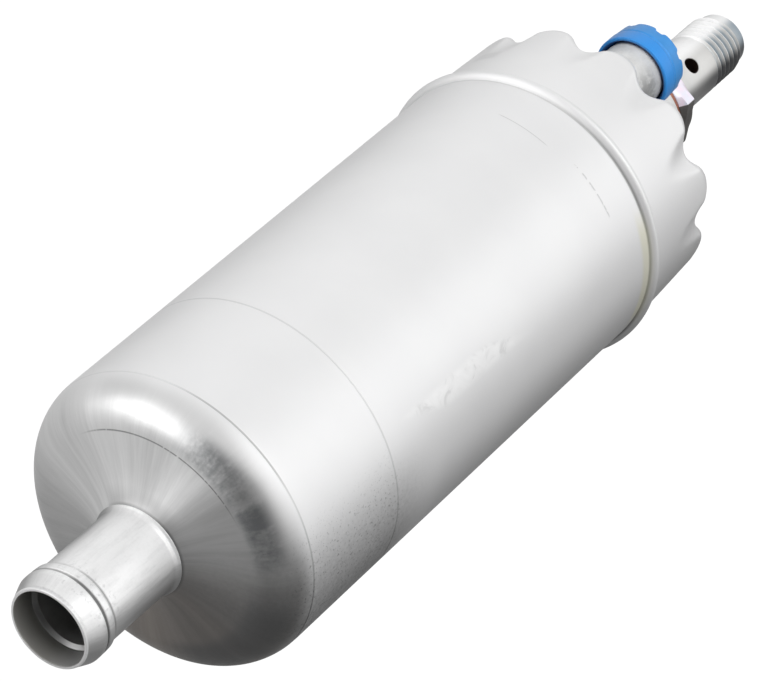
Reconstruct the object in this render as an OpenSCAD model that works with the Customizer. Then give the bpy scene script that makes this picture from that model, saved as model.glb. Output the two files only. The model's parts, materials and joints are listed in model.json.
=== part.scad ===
// In-line electric fuel pump, two pump stages ahead of a wet motor.
// The pump axis is X, from the hose nozzle to the outlet stud. +Z is up, through the collared terminal.
// The origin lies on the pump axis, midway along the plain band that a clamp grips.
// Stations (x) in this file are counted from the nozzle's tip, and angles from +Y towards +Z.

/* [Can] */
// Outer diameter of the drawn can
can_d = 54; // [50:0.5:60]
// Wall thickness of the can
can_wall = 1.5; // [1.2:0.1:1.8]
// Outside radius of the nose shoulder
nose_r = 8; // [7:0.5:10]
// Slope of the nose face, in degrees
nose_slope = 8; // [4:1:12]
// Length of the plain band between the nose shoulder and the stop bead
clamp_len = 100; // [90:1:120]
// Height of the stop bead above the can
bead_h = 1.2; // [0.6:0.1:1.8]
// Width of the stop bead
bead_w = 2.4; // [2:0.1:3.5]
// Length of the crimped rim behind the stop bead
rim_len = 20.4; // [19:0.1:24]
// Diameter that the rim loses over its length
rim_taper = 1.1; // [0.4:0.1:1.5]
// Outside radius of the lip that is curled inwards
lip_r = 2.4; // [2.2:0.1:2.6]

/* [Crimp lobes] */
// Number of lobes round the rim
lobes = 12; // [8:1:14]
// Depth of the dents that press the lip onto the end cap between the lobes, along the pump axis
dent_l = 3.5; // [3:0.1:5]
// Radius of the dents' round floor
dent_r = 4.2; // [3.6:0.1:4.6]
// Depth to which the dents press in the side of the rim
flute_depth = 1.2; // [0.6:0.1:1.6]
// Radius of the flute that this leaves in the side
flute_r = 6; // [4:0.5:8]
// Length over which the flute runs out
flute_len = 6; // [4:0.5:9]

/* [Inlet nozzle] */
// Length of the nozzle in front of the nose
nozzle_len = 24.3; // [20:0.1:35]
// Outer diameter of the nozzle tube
nozzle_d = 15.7; // [14:0.1:18]
// Diameter of the nozzle's mouth
mouth_d = 13.3; // [12:0.1:13.6]
// Depth of the mouth before the bore steps down
mouth_l = 7.5; // [5:0.5:10]
// Diameter of the nozzle bore behind the mouth
nozzle_bore = 10.6; // [9:0.1:11.5]
// Diameter of the hose bead
hose_bead_d = 16.8; // [16.4:0.1:18.6]
// Width of the hose bead
hose_bead_w = 6; // [5:0.5:8]
// Width of the fillet where the nozzle meets the nose
root_fillet = 1.5; // [1:0.1:2.5]
// Thickness of the nozzle's flange inside the can
flange_t = 1.6; // [1:0.1:2]
// Length of the strainer thimble
strainer_l = 12; // [8:0.5:14]

/* [Pump pack] */
// Thickness of the rubber cushion behind the nose shoulder
cushion_t = 2.5; // [1.5:0.1:4]
// Thickness of the inlet plate
inlet_plate_t = 6; // [5:0.5:8]
// Thickness of the side channel impeller
impeller_t = 4; // [3:0.5:5]
// Radius of the side channel impeller
impeller_r = 18; // [17:0.5:18.5]
// Width of the side channel, and length of the impeller's vanes
channel_w = 3.8; // [3:0.1:4.4]
// Depth of the side channel
channel_depth = 1.6; // [1:0.1:2.2]
// Number of impeller vanes
vanes = 30; // [20:1:36]
// Wall left between the impeller and the gear stage
middle_wall = 5.8; // [5:0.2:8]
// Width of the gear rotors
rotor_w = 10; // [8:0.5:12]
// Teeth of the inner rotor
inner_teeth = 6; // [6:1:6]
// Distance between the two rotor axes
ecc = 1.5; // [1.2:0.05:1.6]
// Radius of the circle on which the outer rotor's tooth centres lie
tooth_ring_r = 14; // [13.8:0.1:14.2]
// Radius of the outer rotor's teeth
tooth_r = 4; // [3.6:0.1:4.2]
// Outer radius of the outer rotor
outer_rotor_r = 18.6; // [18.4:0.1:18.8]
// Thickness of the pressure plate
pressure_plate_t = 6; // [5:0.5:8]
// Diameter of the pump screws
screw_d = 3; // [2.5:0.1:3]
// Radius of the circle on which the pump screws lie
screw_ring_r = 22.4; // [22:0.1:22.6]
// Diameter of the relief ball
relief_ball_d = 4; // [3.5:0.1:4.2]
// Depth of the rotor's drive flat on the shaft
flat_depth = 0.5; // [0.3:0.1:0.8]
// Lift of the relief ball
relief_lift = 1.5; // [1:0.1:2]

/* [Motor] */
// Wall of the steel flux ring
flux_wall = 2.5; // [2:0.1:3]
// Thickness of the magnets
magnet_t = 5; // [4:0.1:5.4]
// Angle that each magnet spans
magnet_span = 130; // [100:1:140]
// How far the magnets reach beyond the core, at both ends together
magnet_over = 8; // [4:1:10]
// Air gap between the magnets and the armature
air_gap = 0.6; // [0.4:0.1:1]
// Room between the pressure plate and the armature's winding head
motor_room = 2.4; // [1:0.1:6]
// Width of the armature's teeth
tooth_w = 3.6; // [3:0.1:4.4]
// Number of winding slots, equal to the number of commutator bars
slots = 8; // [7:1:9]
// Depth of a winding head beyond the core
winding_head = 6; // [4:0.5:7]
// Diameter of the armature shaft
shaft_d = 6; // [5:0.1:6.4]
// Wall of the two shaft bushes
bush_wall = 1.5; // [1:0.1:1.8]
// Diameter of the commutator
commutator_d = 18; // [17:0.5:19]
// Thickness of the commutator bars
bar_t = 2.6; // [2:0.1:3]
// Length of the commutator
commutator_l = 9; // [8:0.5:10]
// Width of a brush, along the pump axis
brush_w = 5; // [4:0.5:6]
// Thickness of a brush, across the pump axis
brush_t = 4.6; // [4:0.2:5.6]
// Length of a brush, away from the pump axis
brush_l = 6.5; // [5.5:0.5:7]
// Thickness of the brush plate
brush_plate_t = 3.8; // [3:0.2:5]

/* [End cap] */
// Thickness of the end cap inside the can
cap_t = 11.9; // [11:0.1:14]
// Depth of the end face below the seat of the dents
face_drop = 1.1; // [0.6:0.1:1.5]
// Diameter of the centre boss that carries the outlet stud
centre_boss_d = 18.4; // [18:0.1:18.6]
// Height of the centre boss above the end face
centre_boss_h = 24.6; // [22:0.2:30]
// Distance of the terminals from the pump axis
terminal_ring_r = 17.2; // [17:0.1:17.3]
// Diameter of the collared terminal boss
post_d = 13.2; // [12.4:0.1:13.4]
// Height of the collared terminal boss above the end face
post_h = 14.6; // [10:0.2:18]
// Diameter of the lower terminal boss
low_post_d = 11.4; // [11:0.1:12]
// Height of the lower terminal boss above the end face
low_post_h = 12; // [8:0.2:16]
// Section diameter of the end cap's seal ring
seal_d = 2; // [1.8:0.05:2.2]

/* [Terminals] */
// Diameter of the coloured collar
collar_d = 15.4; // [14.8:0.1:16.2]
// Length of the coloured collar
collar_l = 6.1; // [5:0.1:8]
// How far the collar reaches down over its boss
collar_lap = 1.6; // [1:0.1:2.4]
// Number of notches in the collar's free edge
collar_notches = 8; // [4:1:10]
// Thread diameter of the collared terminal
upper_thread_d = 4; // [4:1:4]
// Thread diameter of the lower terminal
lower_thread_d = 5; // [5:1:5]
// Length of the upper terminal beyond its boss
upper_free_l = 7; // [6:0.5:9]
// Length of the lower terminal beyond its boss
lower_free_l = 11; // [9:0.5:14]
// Wall of the insulating sleeves
sleeve_wall = 1.4; // [1:0.1:1.6]

/* [Outlet stud] */
// Nominal thread diameter of the outlet stud
stud_d = 12; // [12:1:12]
// Width of the stud's hexagon across its flats
hex_af = 17; // [17:1:19]
// Thickness of the hexagon
hex_t = 3.9; // [3:0.1:6]
// Angle of one hexagon flat, which the cross hole faces
hex_flat_at = 111; // [81:1:141]
// Length of the plain shank beyond the hexagon
shank_l = 13.3; // [11:0.1:18]
// Length of the threaded stretch
thread_l = 8.8; // [8:0.1:14]
// Length of the tapered end
lead_l = 2.7; // [1:0.1:4]
// Length of the spigot screwed into the end cap
spigot_l = 14; // [10:0.5:16]
// Diameter of the valve bore
valve_bore = 7.6; // [7:0.1:8]
// Diameter of the cross hole
cross_hole_d = 3; // [2:0.1:4]
// Distance of the cross hole from the hexagon
cross_hole_at = 7.4; // [5:0.1:9]
// Lift of the check valve
check_lift = 2.2; // [1.5:0.1:3]
// Thickness of the sealing washer
washer_t = 1.5; // [1:0.1:2]
// Outer diameter of the sealing washer
washer_d = 17.8; // [16.5:0.1:18]

/* [Fits] */
// Radial gap of a turning or sliding fit
run_gap = 0.05; // [0.02:0.01:0.1]
// Gap of a piece that is pushed in and stays
seat_gap = 0.02; // [0.01:0.01:0.05]
// Radial gap of loose assembled pieces
loose_gap = 0.15; // [0.1:0.01:0.25]
// Gap at each face of a rotor
face_gap = 0.04; // [0.02:0.01:0.1]
// Gap at each end of a coil spring
coil_gap = 0.03; // [0.02:0.01:0.1]

/* [Hidden] */
eps = 0.01;
fine = 96;
small = 48;

can_r = can_d / 2;
can_in = can_r - can_wall;
nozzle_r = nozzle_d / 2;

// Stations of the can, from the nozzle's tip
nose_x = nozzle_len;
tan_slope = tan(nose_slope);
shoulder_r = can_r - nose_r;
nose_edge_r = shoulder_r + nose_r * sin(nose_slope);
shoulder_x = nose_x + (nose_edge_r - nozzle_r) * tan_slope + nose_r * cos(nose_slope);
bead_x = shoulder_x + clamp_len;
rim_x = bead_x + bead_w;
rim_end_x = bead_x + bead_w / 2 + rim_len + 1;
lip_x = rim_end_x - lip_r;
rim_r = can_r - rim_taper / 2;
dent_x = rim_end_x - dent_l;
origin_x = shoulder_x + clamp_len / 2;

// Stations of the pump pack
pack_x = shoulder_x + cushion_t;
impeller_x = pack_x + inlet_plate_t;
recess_t = impeller_t + 2 * face_gap;
middle_x = impeller_x + recess_t;
rotor_x = middle_x + middle_wall;
ring_t = rotor_w + 2 * face_gap;
pressure_x = rotor_x + ring_t;
motor_x = pressure_x + pressure_plate_t;
pack_r = can_in - loose_gap;

// Stations of the end cap, the brush plate and the motor
cap_seat_x = dent_x - can_wall - seat_gap;
cap_x = cap_seat_x - cap_t;
face_x = cap_seat_x - face_drop;
brush_plate_x = cap_x - brush_plate_t;
groove_x = cap_x + 0.8;
groove_w = seal_d + 0.4;
groove_r = min(rim_r - can_wall, flute_in(groove_x + groove_w / 2)) - seal_d - 2 * loose_gap;
flux_r = can_in - loose_gap;
flux_in = flux_r - flux_wall;
magnet_in = flux_in - seat_gap - magnet_t;
core_r = magnet_in - air_gap;
commutator_x = brush_plate_x - 1 - commutator_l;
hub_collar_t = 2;
brush_x = commutator_x + commutator_l / 2;
commutator_r = commutator_d / 2;
core_x = motor_x + motor_room + winding_head;
core_l = commutator_x - hub_collar_t - 1 - winding_head - core_x;
magnet_x = core_x - magnet_over / 2;
magnet_l = core_l + magnet_over;
shaft_r = shaft_d / 2;
bush_r = shaft_r + bush_wall;
bush_l = inlet_plate_t - 1;
shaft_x = pack_x + 1.5;
shaft_end_x = cap_x + bush_l + 0.5;

// Gear stage: the outer rotor has one tooth more than the inner one
outer_teeth = inner_teeth + 1;
cavity_r = tooth_ring_r + 2 * ecc - tooth_r + run_gap;
ring_bore_r = outer_rotor_r + run_gap;
port_in = tooth_ring_r - tooth_r - ecc;
port_out = tooth_ring_r - tooth_r + 2 * ecc;

// Side channel, with its inlet near one end and its outlet near the other
channel_in = impeller_r - channel_w;
channel_from = 20;
channel_to = 320;
channel_port_r = channel_w / 2 - 0.1;

// Relief valve, below the rotors
relief_at = 270;
relief_ring_r = ring_bore_r - ecc + relief_ball_d / 2 + run_gap + 1.6;
relief_bore_r = relief_ball_d / 2 + run_gap;
relief_seat_r = relief_ball_d * 0.33;
relief_seat_x = motor_x - 1.5;
ball_x = relief_seat_x - sqrt(pow(relief_ball_d / 2, 2) - pow(relief_seat_r, 2)) - seat_gap;
relief_spring_r = relief_ball_d / 2 - 0.1;
relief_stop_x = ball_x - relief_lift - sqrt(pow(relief_ball_d / 2, 2) - pow(relief_spring_r, 2)) - seat_gap;

// Pump screws
screw_angles = [30, 150, 210, 330];
head_h = screw_d * 0.8;
head_r = screw_d * 0.78;
head_x = pack_x + 0.3;

// Winding slots, between teeth with parallel sides
slot_in = shaft_r + 3.9;
slot_out = core_r - 2.1;
hub_r = commutator_r - bar_t;

// Brushes and their guides
brush_in = commutator_r + run_gap;
guide_wall = 0.8;
guide_in = brush_in + 2 * guide_wall;
guide_out = flux_in - guide_wall;
guide_x = brush_x + brush_w / 2 + run_gap + guide_wall + seat_gap;
strip_w = 3;
strip_t = 0.8;

// Outlet stud
boss_top_x = face_x + centre_boss_h;
hex_x = boss_top_x + washer_t;
shank_x = hex_x + hex_t;
thread_x = shank_x + shank_l;
lead_x = thread_x + thread_l;
tip_x = lead_x + lead_l;
shank_r = stud_d / 2 - 0.05;
spigot_x = boss_top_x - spigot_l;
valve_r = valve_bore / 2;
seat_x = hex_x + 0.5;
seat_l = 5;
seat_wall = 1.4;
valve_head_t = 2.4;
check_x = seat_x + seat_gap;
valve_end_x = thread_x + thread_l * 0.6;
cross_x = shank_x + cross_hole_at;

// Terminals
upper_at = 90;
lower_at = 270;
post_x = face_x + post_h;
low_post_x = face_x + low_post_h;
collar_x = post_x - collar_lap;
upper_r = upper_thread_d / 2;
lower_r = lower_thread_d / 2;
head_t = 1.6;
head_rim = 2;
pocket_t = head_t + 1.2;
upper_seat_x = post_x + 1 + 2 * seat_gap;
lower_seat_x = low_post_x + 1.8 + 2 * seat_gap;
disc_t = 0.8;
upper_nut_af = 7;
lower_nut_af = 8;

// Drawn along +Z, then laid along the pump axis at a station
module along(x) { translate([x - origin_x, 0, 0]) rotate([0, 90, 0]) children(); }
module rod(x0, x1, r, sides = fine) { along(x0) cylinder(h = x1 - x0, r = r, $fn = sides); }
module tube(x0, x1, r_out, r_in, sides = fine) {
  difference() {
    rod(x0, x1, r_out, sides);
    rod(x0 - eps, x1 + eps, r_in, sides);
  }
}
// Solid of revolution about the pump axis from [station, radius] points
module turned(points, sides = fine) {
  along(0) rotate_extrude($fn = sides) polygon([for (p = points) [p[1], p[0]]]);
}
// Part of a ring, between two stations, two radii and two angles
module sector(x0, x1, r_in, r_out, a0, a1) {
  rotate([a0 - 270, 0, 0]) along(x0)
    rotate_extrude(angle = a1 - a0, $fn = fine) translate([r_in, 0]) square([r_out - r_in, x1 - x0]);
}
// Moved away from the pump axis, towards an angle
module out(angle, r) { rotate([angle, 0, 0]) translate([0, r, 0]) children(); }
// Rod parallel to the pump axis, off it
module pin(angle, ring, x0, x1, r, sides = small) { out(angle, ring) rod(x0, x1, r, sides); }

// Arc of a profile as [station, radius] points, angles measured from the radius towards +X
function arc(x, r, radius, a0, a1, n = 10) =
  [for (i = [0:n]) let (a = a0 + (a1 - a0) * i / n) [x + radius * sin(a), r + radius * cos(a)]];
// Radius of the rim at a station
function rim_radius(x) = can_r - (rim_taper / 2) * max(0, x - rim_x) / (lip_x - rim_x);
// Radius to which a flute's inner skin comes in at a station
function flute_in(x) = rim_r - can_wall - flute_depth + (dent_x - x) * flute_depth / flute_len;
// Radius of a piece held inside the rim
function cap_radius(x) = rim_radius(x) - can_wall - loose_gap;

// Unbroken coil of round wire, its axis along +Z, with flat-lying end turns
module coil(turns, r, wire_r, length) {
  steps = 12;
  sides = 6;
  n = round(turns * steps);
  lay = 2 * wire_r;
  function rise(t) = let (u = t / turns, e = 0.9 / turns)
    u < e ? lay * u / e
    : u > 1 - e ? length - lay * (1 - u) / e
    : lay + (length - 2 * lay) * (u - e) / (1 - 2 * e);
  function ring_at(i) =
    let (t = i * turns / n, a = 360 * t, z = wire_r + rise(t) * (length - 2 * wire_r) / length)
    [for (k = [0:sides - 1]) let (b = 360 * k / sides)
      [(r + wire_r * cos(b)) * cos(a), (r + wire_r * cos(b)) * sin(a), z + wire_r * sin(b)]];
  points = [for (i = [0:n]) each ring_at(i)];
  walls = [for (i = [0:n - 1], k = [0:sides - 1])
    let (a = i * sides + k, b = i * sides + (k + 1) % sides)
      each [[a, b, b + sides], [a, b + sides, a + sides]]];
  ends = concat(
    [for (k = [1:sides - 2]) [0, k + 1, k]],
    [for (k = [1:sides - 2]) [n * sides, n * sides + k, n * sides + k + 1]]);
  polyhedron(points = points, faces = concat(walls, ends));
}

// Outline of the can's outside, or of its inside when drawn in by the wall
function nose_points(inset, hole_r) = concat(
  [[nose_x + inset / cos(nose_slope) + (hole_r - nozzle_r) * tan_slope, hole_r]],
  arc(shoulder_x, shoulder_r, nose_r - inset, nose_slope - 90, 0));
function rim_points(inset) = concat(
  [for (i = [0:8]) let (h = bead_h - inset * 0.3)
    [bead_x + bead_w * i / 8, can_r - inset + h * sin(22.5 * i)]],
  arc(lip_x, rim_r - lip_r, lip_r - inset, 0, 90, 6));

// Flutes pressed into the side of the rim below the dents, drawn larger by a margin
module flutes(margin) {
  lean = atan(flute_depth / flute_len);
  for (i = [0:lobes - 1])
    rotate([(i + 0.5) * 360 / lobes, 0, 0])
      translate([dent_x - origin_x, rim_r + flute_r - flute_depth, 0])
        rotate([0, 0, -lean]) rotate([0, 90, 0])
          translate([0, 0, -flute_len * 2]) cylinder(h = flute_len * 4, r = flute_r + margin, $fn = small);
}
// Dents that press the lip onto the end cap between the lobes, with the flutes below them
module dents(margin) {
  flutes(margin);
  for (i = [0:lobes - 1])
    rotate([(i + 0.5) * 360 / lobes, 0, 0]) translate([dent_x + dent_r - origin_x, can_r / 2, 0])
      rotate([-90, 0, 0]) cylinder(h = can_r, r = dent_r + margin, $fn = small);
}

module casing() {
  color("gainsboro")
    difference() {
      difference() {
        turned(concat([[rim_end_x, 0], [nose_x, 0]], nose_points(0, nozzle_r), rim_points(0)));
        dents(0);
      }
      difference() {
        turned(concat([[rim_end_x - can_wall, 0], [nose_x + can_wall, 0]],
          nose_points(can_wall, nozzle_r), rim_points(can_wall)));
        dents(can_wall);
      }
      rod(nose_x - 1, nose_x + can_wall * 2, nozzle_r + seat_gap);
      rod(rim_end_x - dent_l - can_wall * 2, rim_end_x + 1, rim_r - lip_r);
    }
}

module inlet_nozzle() {
  bead_r = hose_bead_d / 2;
  mouth_r = mouth_d / 2;
  bore_r = nozzle_bore / 2;
  back_x = nose_x + can_wall / cos(nose_slope) + 3 * tan_slope + seat_gap;
  root_x = nose_x + root_fillet * tan_slope - seat_gap;
  color("silver")
    turned(concat(
      [[0, mouth_r], [0, nozzle_r - 0.1], [0.5, nozzle_r + 0.1], [1.1, bead_r],
       [hose_bead_w * 0.72, bead_r], [hose_bead_w * 0.76, bead_r - 0.25],
       [hose_bead_w * 0.82, bead_r - 0.25], [hose_bead_w * 0.86, bead_r], [hose_bead_w, bead_r - 0.05],
       [hose_bead_w + 0.6, nozzle_r + 0.05], [hose_bead_w + 1, nozzle_r]],
      [for (a = [0:15:90]) [root_x - root_fillet * (1 - sin(a)), nozzle_r + root_fillet * (1 - cos(a))]],
      [[root_x - root_fillet * tan_slope, nozzle_r], [back_x, nozzle_r],
       [back_x, nozzle_r + 3], [back_x + flange_t, nozzle_r + 3], [back_x + flange_t, bore_r],
       [mouth_l + 0.8, bore_r], [mouth_l, bore_r + 0.4], [mouth_l - 0.4, mouth_r]]));
}

module inlet_strainer() {
  rim = nozzle_bore / 2 - seat_gap;
  thimble = rim - 1.4;
  end_x = nose_x + can_wall + flange_t + 1;
  color("khaki")
    difference() {
      union() {
        tube(end_x - strainer_l, end_x - strainer_l + 2, rim, thimble - 0.5);
        rod(end_x - strainer_l + 1, end_x, thimble);
      }
      rod(end_x - strainer_l - 1, end_x - 0.5, thimble - 0.5);
      for (i = [0:7], j = [0:2])
        out(i * 45 + j * 22.5, 0) translate([end_x - strainer_l + 3.4 + j * 2.6 - origin_x, 0, 0])
          rotate([-90, 0, 0]) cylinder(h = rim, r = 0.9, $fn = 24);
    }
}

module pack_cushion() {
  width = 2.8;
  reach = 2.5;
  curve = nose_r - can_wall - loose_gap;
  color("dimgray")
    turned(concat([[pack_x, pack_r - width], [shoulder_x - reach, pack_r - width]],
      arc(shoulder_x, shoulder_r, curve, -asin(reach / curve), 0, 5), [[pack_x, pack_r]]));
}

// Holes that the pump screws pass through
module screw_holes(x0, x1, r) { for (a = screw_angles) pin(a, screw_ring_r, x0, x1, r, 24); }

module inlet_plate() {
  color("darkgray")
    difference() {
      rod(pack_x, impeller_x, pack_r);
      rod(pack_x + 1 - seat_gap, impeller_x + 1, bush_r + seat_gap, small);
      rod(pack_x - 1, impeller_x, shaft_r + 0.5, small);
      sector(impeller_x - channel_depth, impeller_x + 1, channel_in, impeller_r, channel_from, channel_to);
      pin(channel_from + 8, impeller_r - channel_w / 2, pack_x - 1, impeller_x, channel_port_r);
      pin(relief_at, relief_ring_r, pack_x - 1, impeller_x + 1, relief_seat_r);
      screw_holes(pack_x - 1, impeller_x + 1, screw_d / 2 + run_gap);
      screw_holes(pack_x - 1, head_x + head_h, head_r + loose_gap);
    }
}

module front_bush() {
  color("peru") tube(pack_x + 1, pack_x + 1 + bush_l - 0.2, bush_r, shaft_r + run_gap / 2, small);
}

module impeller_housing() {
  color("silver")
    difference() {
      rod(impeller_x, rotor_x, pack_r);
      rod(impeller_x - 1, middle_x, impeller_r + 2 * loose_gap);
      rod(impeller_x, rotor_x + 1, shaft_r + 0.4, small);
      sector(middle_x - eps, middle_x + channel_depth, channel_in, impeller_r, channel_from, channel_to);
      sector(rotor_x - 2, rotor_x + 1, port_in, port_out, 300, 420);
      pin(channel_to - 2, channel_in, middle_x, rotor_x + 1, channel_port_r);
      pin(relief_at, relief_ring_r, impeller_x - 1, rotor_x + 1, relief_seat_r);
      screw_holes(impeller_x - 1, rotor_x + 1, screw_d / 2 + run_gap);
    }
}

// Flat that lets the shaft drive a rotor
module drive_flat(x0, x1, gap) {
  translate([x0 - origin_x, -shaft_r, shaft_r - flat_depth + gap]) cube([x1 - x0, shaft_d, shaft_d]);
}
// Bore of a driven rotor, with its flat
module drive_bore(x0, x1) {
  difference() {
    rod(x0 - 1, x1 + 1, shaft_r + seat_gap, small);
    drive_flat(x0 - 2, x1 + 2, seat_gap);
  }
}

module impeller() {
  x0 = impeller_x + face_gap;
  web_t = 0.8;
  vane_t = 1;
  color("saddlebrown")
    difference() {
      union() {
        rod(x0, x0 + impeller_t, channel_in);
        rod(x0 + (impeller_t - web_t) / 2, x0 + (impeller_t + web_t) / 2, impeller_r);
        along(x0) linear_extrude(impeller_t) for (i = [0:vanes - 1])
          rotate(i * 360 / vanes) translate([channel_in - 1, -vane_t / 2])
            square([channel_w + 0.9, vane_t]);
      }
      drive_bore(x0, x0 + impeller_t);
    }
}

module rotor_housing() {
  color("slategray")
    difference() {
      rod(rotor_x, pressure_x, pack_r);
      out(90, ecc) rod(rotor_x - 1, pressure_x + 1, ring_bore_r);
      pin(relief_at, relief_ring_r, rotor_x - 1, pressure_x + 1, relief_spring_r);
      screw_holes(rotor_x - 1, pressure_x + 1, screw_d / 2 + run_gap);
    }
}

// Point of the inner rotor: the path of a tooth centre, drawn in by the tooth's radius and the running gap
function rotor_point(t) =
  let (n = outer_teeth, r = tooth_r + run_gap,
    lean = atan2(sin((1 - n) * t), tooth_ring_r / (ecc * n) - cos((1 - n) * t)))
  [tooth_ring_r * cos(t) - r * cos(t + lean) - ecc * cos(n * t),
   -tooth_ring_r * sin(t) + r * sin(t + lean) + ecc * sin(n * t)];

module inner_rotor() {
  x0 = rotor_x + face_gap;
  steps = 28 * inner_teeth;
  // Steps lie closer together in the hollows, where the outline turns slowly
  function even(u) = u - 0.75 * (180 / PI) / inner_teeth * sin(inner_teeth * u);
  color("darkslategray")
    difference() {
      along(x0) linear_extrude(rotor_w)
        polygon([for (i = [0:steps - 1]) rotor_point(even(360 * i / steps))]);
      drive_bore(x0, x0 + rotor_w);
    }
}

module outer_rotor() {
  color("lightslategray")
    out(90, ecc) along(rotor_x + face_gap) linear_extrude(rotor_w) difference() {
      circle(r = outer_rotor_r, $fn = fine);
      difference() {
        circle(r = cavity_r, $fn = fine);
        for (i = [0:outer_teeth - 1])
          rotate(i * 360 / outer_teeth) translate([0, -tooth_ring_r]) circle(r = tooth_r, $fn = small);
      }
    }
}

module pressure_plate() {
  color("silver")
    difference() {
      rod(pressure_x, motor_x, pack_r);
      rod(pressure_x - 1, motor_x + 1, shaft_r + 0.4, small);
      sector(pressure_x - 1, motor_x + 1, port_in, port_out, 120, 240);
      pin(relief_at, relief_ring_r, pressure_x - 1, relief_stop_x + 1, relief_spring_r);
      pin(relief_at, relief_ring_r, relief_stop_x, relief_seat_x, relief_bore_r);
      pin(relief_at, relief_ring_r, pressure_x, motor_x + 1, relief_seat_r);
      screw_holes(pressure_x - 1, motor_x + 1, screw_d / 2 + run_gap);
    }
}

module relief_ball() {
  color("gray") out(relief_at, relief_ring_r) along(ball_x) sphere(r = relief_ball_d / 2, $fn = small);
}

module relief_spring() {
  wire = 0.25;
  r = relief_ball_d / 2 - 0.5 - wire;
  end_x = ball_x - sqrt(pow(relief_ball_d / 2, 2) - pow(r, 2)) - wire;
  color("lightgray") out(relief_at, relief_ring_r)
    along(rotor_x + coil_gap) coil(6, r, wire, end_x - rotor_x - coil_gap);
}

module pump_screws() {
  r = screw_d / 2;
  color("silver") for (a = screw_angles) difference() {
    union() {
      pin(a, screw_ring_r, head_x, head_x + head_h - seat_gap, head_r, 24);
      pin(a, screw_ring_r, head_x, motor_x - 0.5, r, 24);
    }
    out(a, screw_ring_r) along(head_x - 1) cylinder(h = head_h * 0.6 + 1, r = r * 0.9, $fn = 6);
  }
}

module flux_ring() { color("dimgray") tube(motor_x, brush_plate_x, flux_r, flux_in); }

module magnets() {
  half = magnet_span / 2;
  color("black") for (a = [0, 180])
    sector(magnet_x, magnet_x + magnet_l, magnet_in, flux_in - seat_gap, a - half, a + half);
}

// Bowed springs that wedge the magnets apart
module magnet_clips() {
  inset = 4;
  thick = 1.2;
  reach = 4;
  tab = 1.2;
  half = 89 - magnet_span / 2;
  x0 = magnet_x + inset;
  x1 = magnet_x + magnet_l - inset;
  color("silver") for (a = [90, 270]) {
    sector(x0, x1, flux_in - thick, flux_in - seat_gap, a - half, a + half);
    for (side = [-1, 1]) let (at = a + side * (half - tab))
      sector(x0, x1, flux_in - reach, flux_in - thick + 0.1, at - tab, at + tab);
  }
}

module armature_shaft() {
  color("lightgray")
    difference() {
      rod(shaft_x, shaft_end_x, shaft_r, small);
      drive_flat(shaft_x - 1, pressure_x + 2, 0);
    }
}

// Outline of a winding slot, from its bottom to its lips
function slot_outline(margin) =
  let (r0 = slot_in + margin, r1 = slot_out - margin, side = tooth_w / 2 + margin,
    half0 = PI * r0 / slots - side, half1 = PI * r1 / slots - side)
  [[r0, -half0], [r1, -half1], [r1, half1], [r0, half0]];

module armature_core() {
  lips = 1.8;
  color("slategray")
    difference() {
      rod(core_x, core_x + core_l, core_r);
      for (i = [0:slots - 1]) rotate([(i + 0.5) * 360 / slots, 0, 0])
        along(core_x - 1) rotate(90) linear_extrude(core_l + 2) {
          polygon(slot_outline(0));
          translate([slot_out - 1, -lips / 2]) square([core_r, lips]);
        }
      rod(core_x - 1, core_x + core_l + 1, shaft_r + seat_gap, small);
    }
}

// Bundles in the slots, joined by a rounded head at each end of the core
module windings() {
  head_in = shaft_r + 1.5;
  head_out = slot_out - 0.3;
  soft = 1.5;
  color("sandybrown") {
    for (i = [0:slots - 1]) rotate([(i + 0.5) * 360 / slots, 0, 0])
      along(core_x - 0.5) rotate(90) linear_extrude(core_l + 1) polygon(slot_outline(0.25));
    for (end = [[core_x - seat_gap, -1], [core_x + core_l + seat_gap, 1]])
      turned([for (p = [[0, head_in], [0, head_out - 0.6], [soft, head_out],
          [winding_head - soft, head_out - 0.8], [winding_head, head_out - 3],
          [winding_head, head_in + soft], [winding_head - soft, head_in]])
        [end[0] + end[1] * p[0], p[1]]]);
  }
}

module commutator_hub() {
  color("saddlebrown") {
    tube(commutator_x, commutator_x + commutator_l, hub_r, shaft_r + seat_gap, small);
    tube(commutator_x - hub_collar_t, commutator_x, commutator_r - 1.2, shaft_r + seat_gap, small);
  }
}

module commutator_bars() {
  half = 180 / slots - 1.6;
  color("chocolate") for (i = [0:slots - 1])
    sector(commutator_x + seat_gap, commutator_x + commutator_l, hub_r + seat_gap, commutator_r,
      i * 360 / slots - half, i * 360 / slots + half);
}

module brush_plate() {
  vent_ring = 12;
  vent_r = 3.5;
  color("ivory")
    difference() {
      union() {
        tube(brush_plate_x, cap_x, cap_radius(cap_x), shaft_r + 2.2);
        for (a = [upper_at, lower_at])
          block(a, (guide_x + brush_plate_x) / 2, guide_in, guide_out, brush_plate_x - guide_x + eps,
            brush_t + 4 * guide_wall);
      }
      for (a = [upper_at, lower_at]) {
        out(a, terminal_ring_r) translate([guide_x - 1 - origin_x, -strip_t / 2 - 0.1, -strip_w / 2 - 0.1])
          cube([cap_x - guide_x + 2, strip_t + 0.2, strip_w + 0.2]);
        for (side = [-45, 45]) pin(a + side, vent_ring, brush_plate_x - 1, cap_x + 1, vent_r);
      }
    }
}

// Block square to the pump axis, centred on a station, between two radii
module block(angle, x, r0, r1, length, width) {
  out(angle, r0) translate([x - length / 2 - origin_x, 0, -width / 2]) cube([length, r1 - r0, width]);
}

module brush_guides() {
  length = brush_w + 2 * run_gap;
  width = brush_t + 2 * run_gap;
  color("goldenrod") for (a = [upper_at, lower_at]) difference() {
    block(a, brush_x, guide_in, guide_out, length + 2 * guide_wall, width + 2 * guide_wall);
    block(a, brush_x, guide_in - 1, guide_out - guide_wall, length, width);
  }
}

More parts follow.
